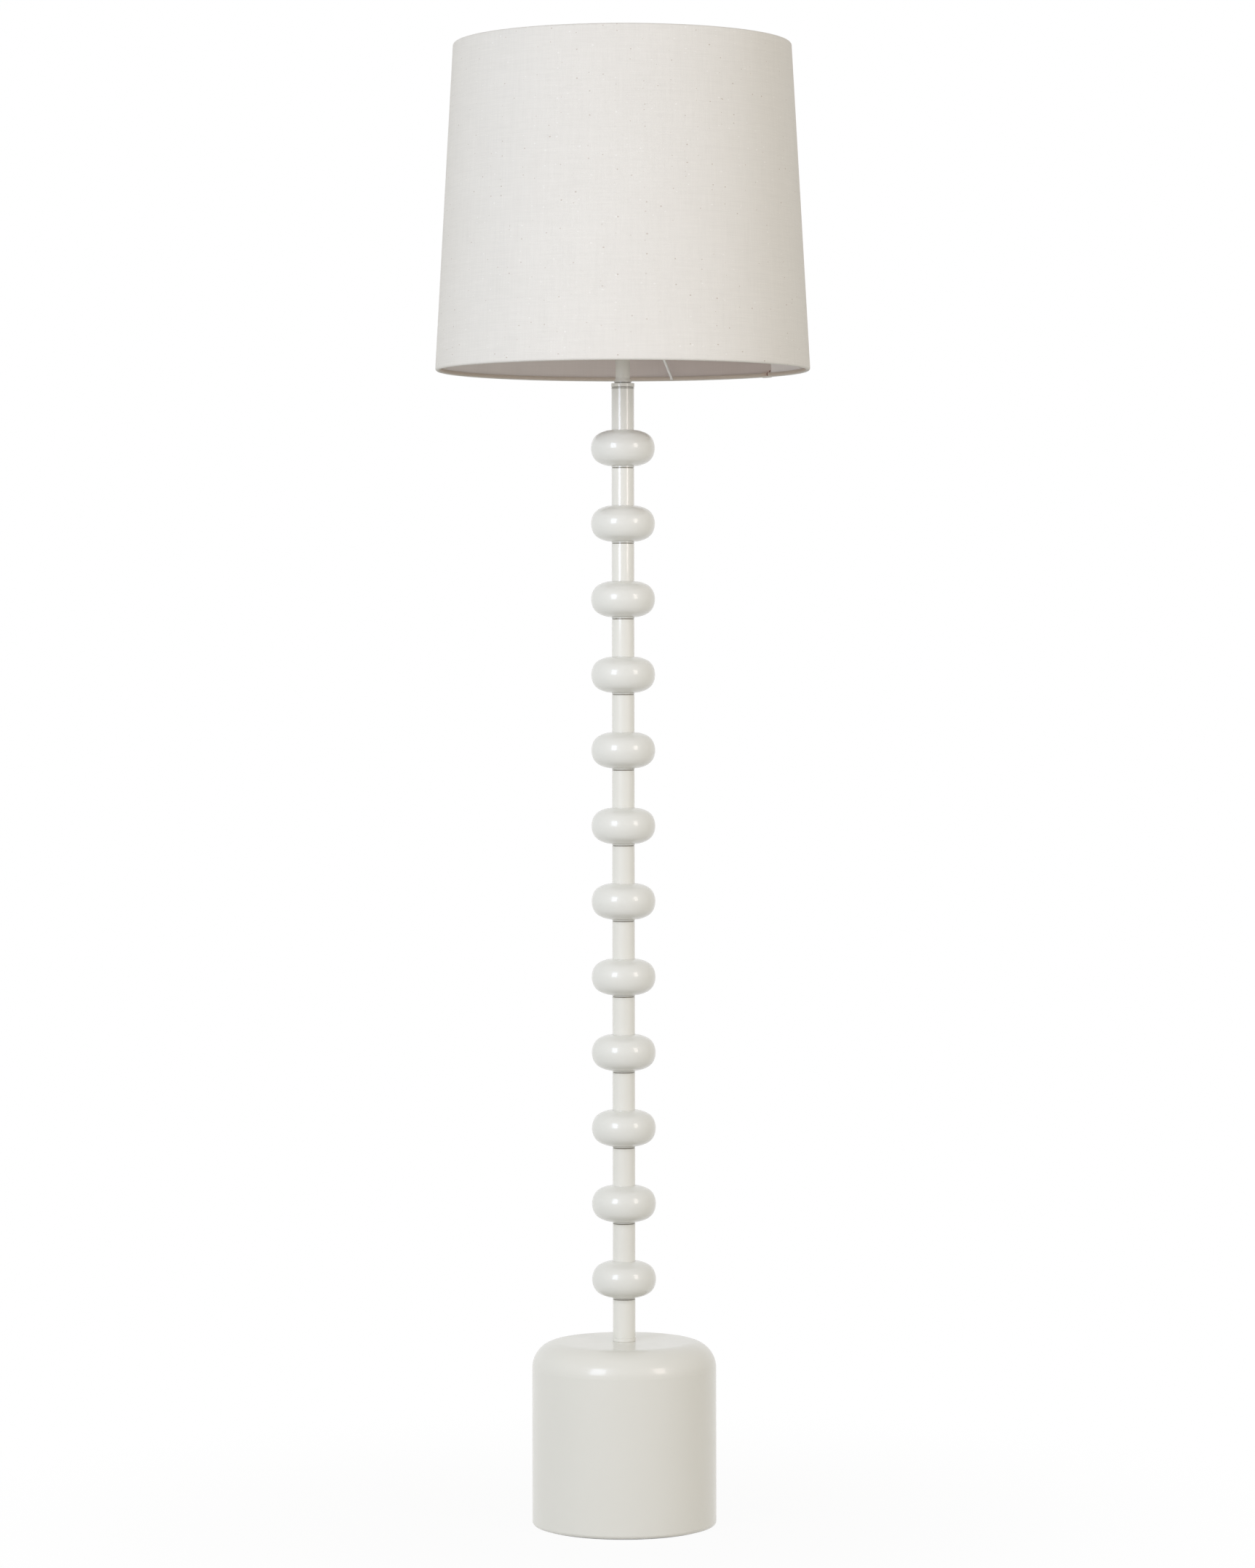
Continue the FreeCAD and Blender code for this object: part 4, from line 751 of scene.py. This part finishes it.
def make_floor():
    """A wide white floor that keeps a faint shadow near the lamp, and is not seen from below."""
    bpy.ops.mesh.primitive_plane_add(size=FLOOR_SIZE, location=(0, 0, 0))
    floor = bpy.context.object
    floor.name = "floor"
    material = bpy.data.materials.new("floor")
    tree = Nodes(material, "ShaderNodeOutputMaterial")
    matt = tree.feed(tree.node("ShaderNodeBsdfDiffuse"), Color=FLOOR_COLOUR)
    glow = tree.feed(tree.node("ShaderNodeEmission"), Strength=1.0)
    clear = tree.node("ShaderNodeBsdfTransparent")
    reach = tree.away_from_axis(tree.place())
    white = tree.spread(reach, SHADOW_RADII, WHITE_AT_SHADOW_RADII, smooth=True)
    top = tree.mix_shaders(tree.times(tree.seen_or_mirrored(), white), matt, glow)
    from_below = tree.node("ShaderNodeNewGeometry").outputs["Backfacing"]
    tree.surface(tree.mix_shaders(from_below, top, clear))
    floor.data.materials.append(material)


# ---- scene ----------------------------------------------------------------------------------

make_camera()
bpy.context.scene.view_settings.view_transform = "Standard"
make_world()
make_floor()
make_lamps()

sprayed_paint("base_paint", ["base_shell", "foot_ring"])
sprayed_paint("tube_paint", numbered("column_tube", BEADS + 1), coat=0.9, coat_roughness=0.05)
# The collar's groove and the neck's waist get painted shade.
sprayed_paint("collar_paint", ["column_collar"], painted_shade_mask=collar_groove)
sprayed_paint("neck_paint", ["neck_sleeve"], painted_shade_mask=neck_waist)
bead_lacquer()
plain_metal("zinc_plate", ZINC,
            ["base_plate", "plate_screws", "base_spacer", "pressure_washer", "anchor_washer",
             "anchor_nut", "pipe_lower", "pipe_upper", "pipe_coupling", "terminal_screws"],
            roughness=0.34, scratch_scale=700.0)
plain_metal("contact_brass", BRASS, ["screw_shell", "centre_contact", "bulb_contact"],
            roughness=0.26, scratch_scale=900.0)
plain_metal("cap_aluminium", ALUMINIUM, ["bulb_cap"], roughness=0.28, scratch_scale=800.0)
cast_ballast()
pressed_felt()
moulded_plastic("gland_plastic", GLAND_PLASTIC, ["cable_gland"], roughness=0.42)
moulded_plastic("holder_plastic", HOLDER_PLASTIC, ["holder_cap", "holder_skirt", "shade_ring"],
                roughness=0.24)
moulded_plastic("insert_moulding", INSERT_PLASTIC, ["holder_insert"], roughness=0.5)
moulded_plastic("black_glass", BLACK_GLASS, ["bulb_insulator"], roughness=0.12)
opal_glass()
wire_enamel()
laminate_lining()
make_linen_cover(woven_linen())
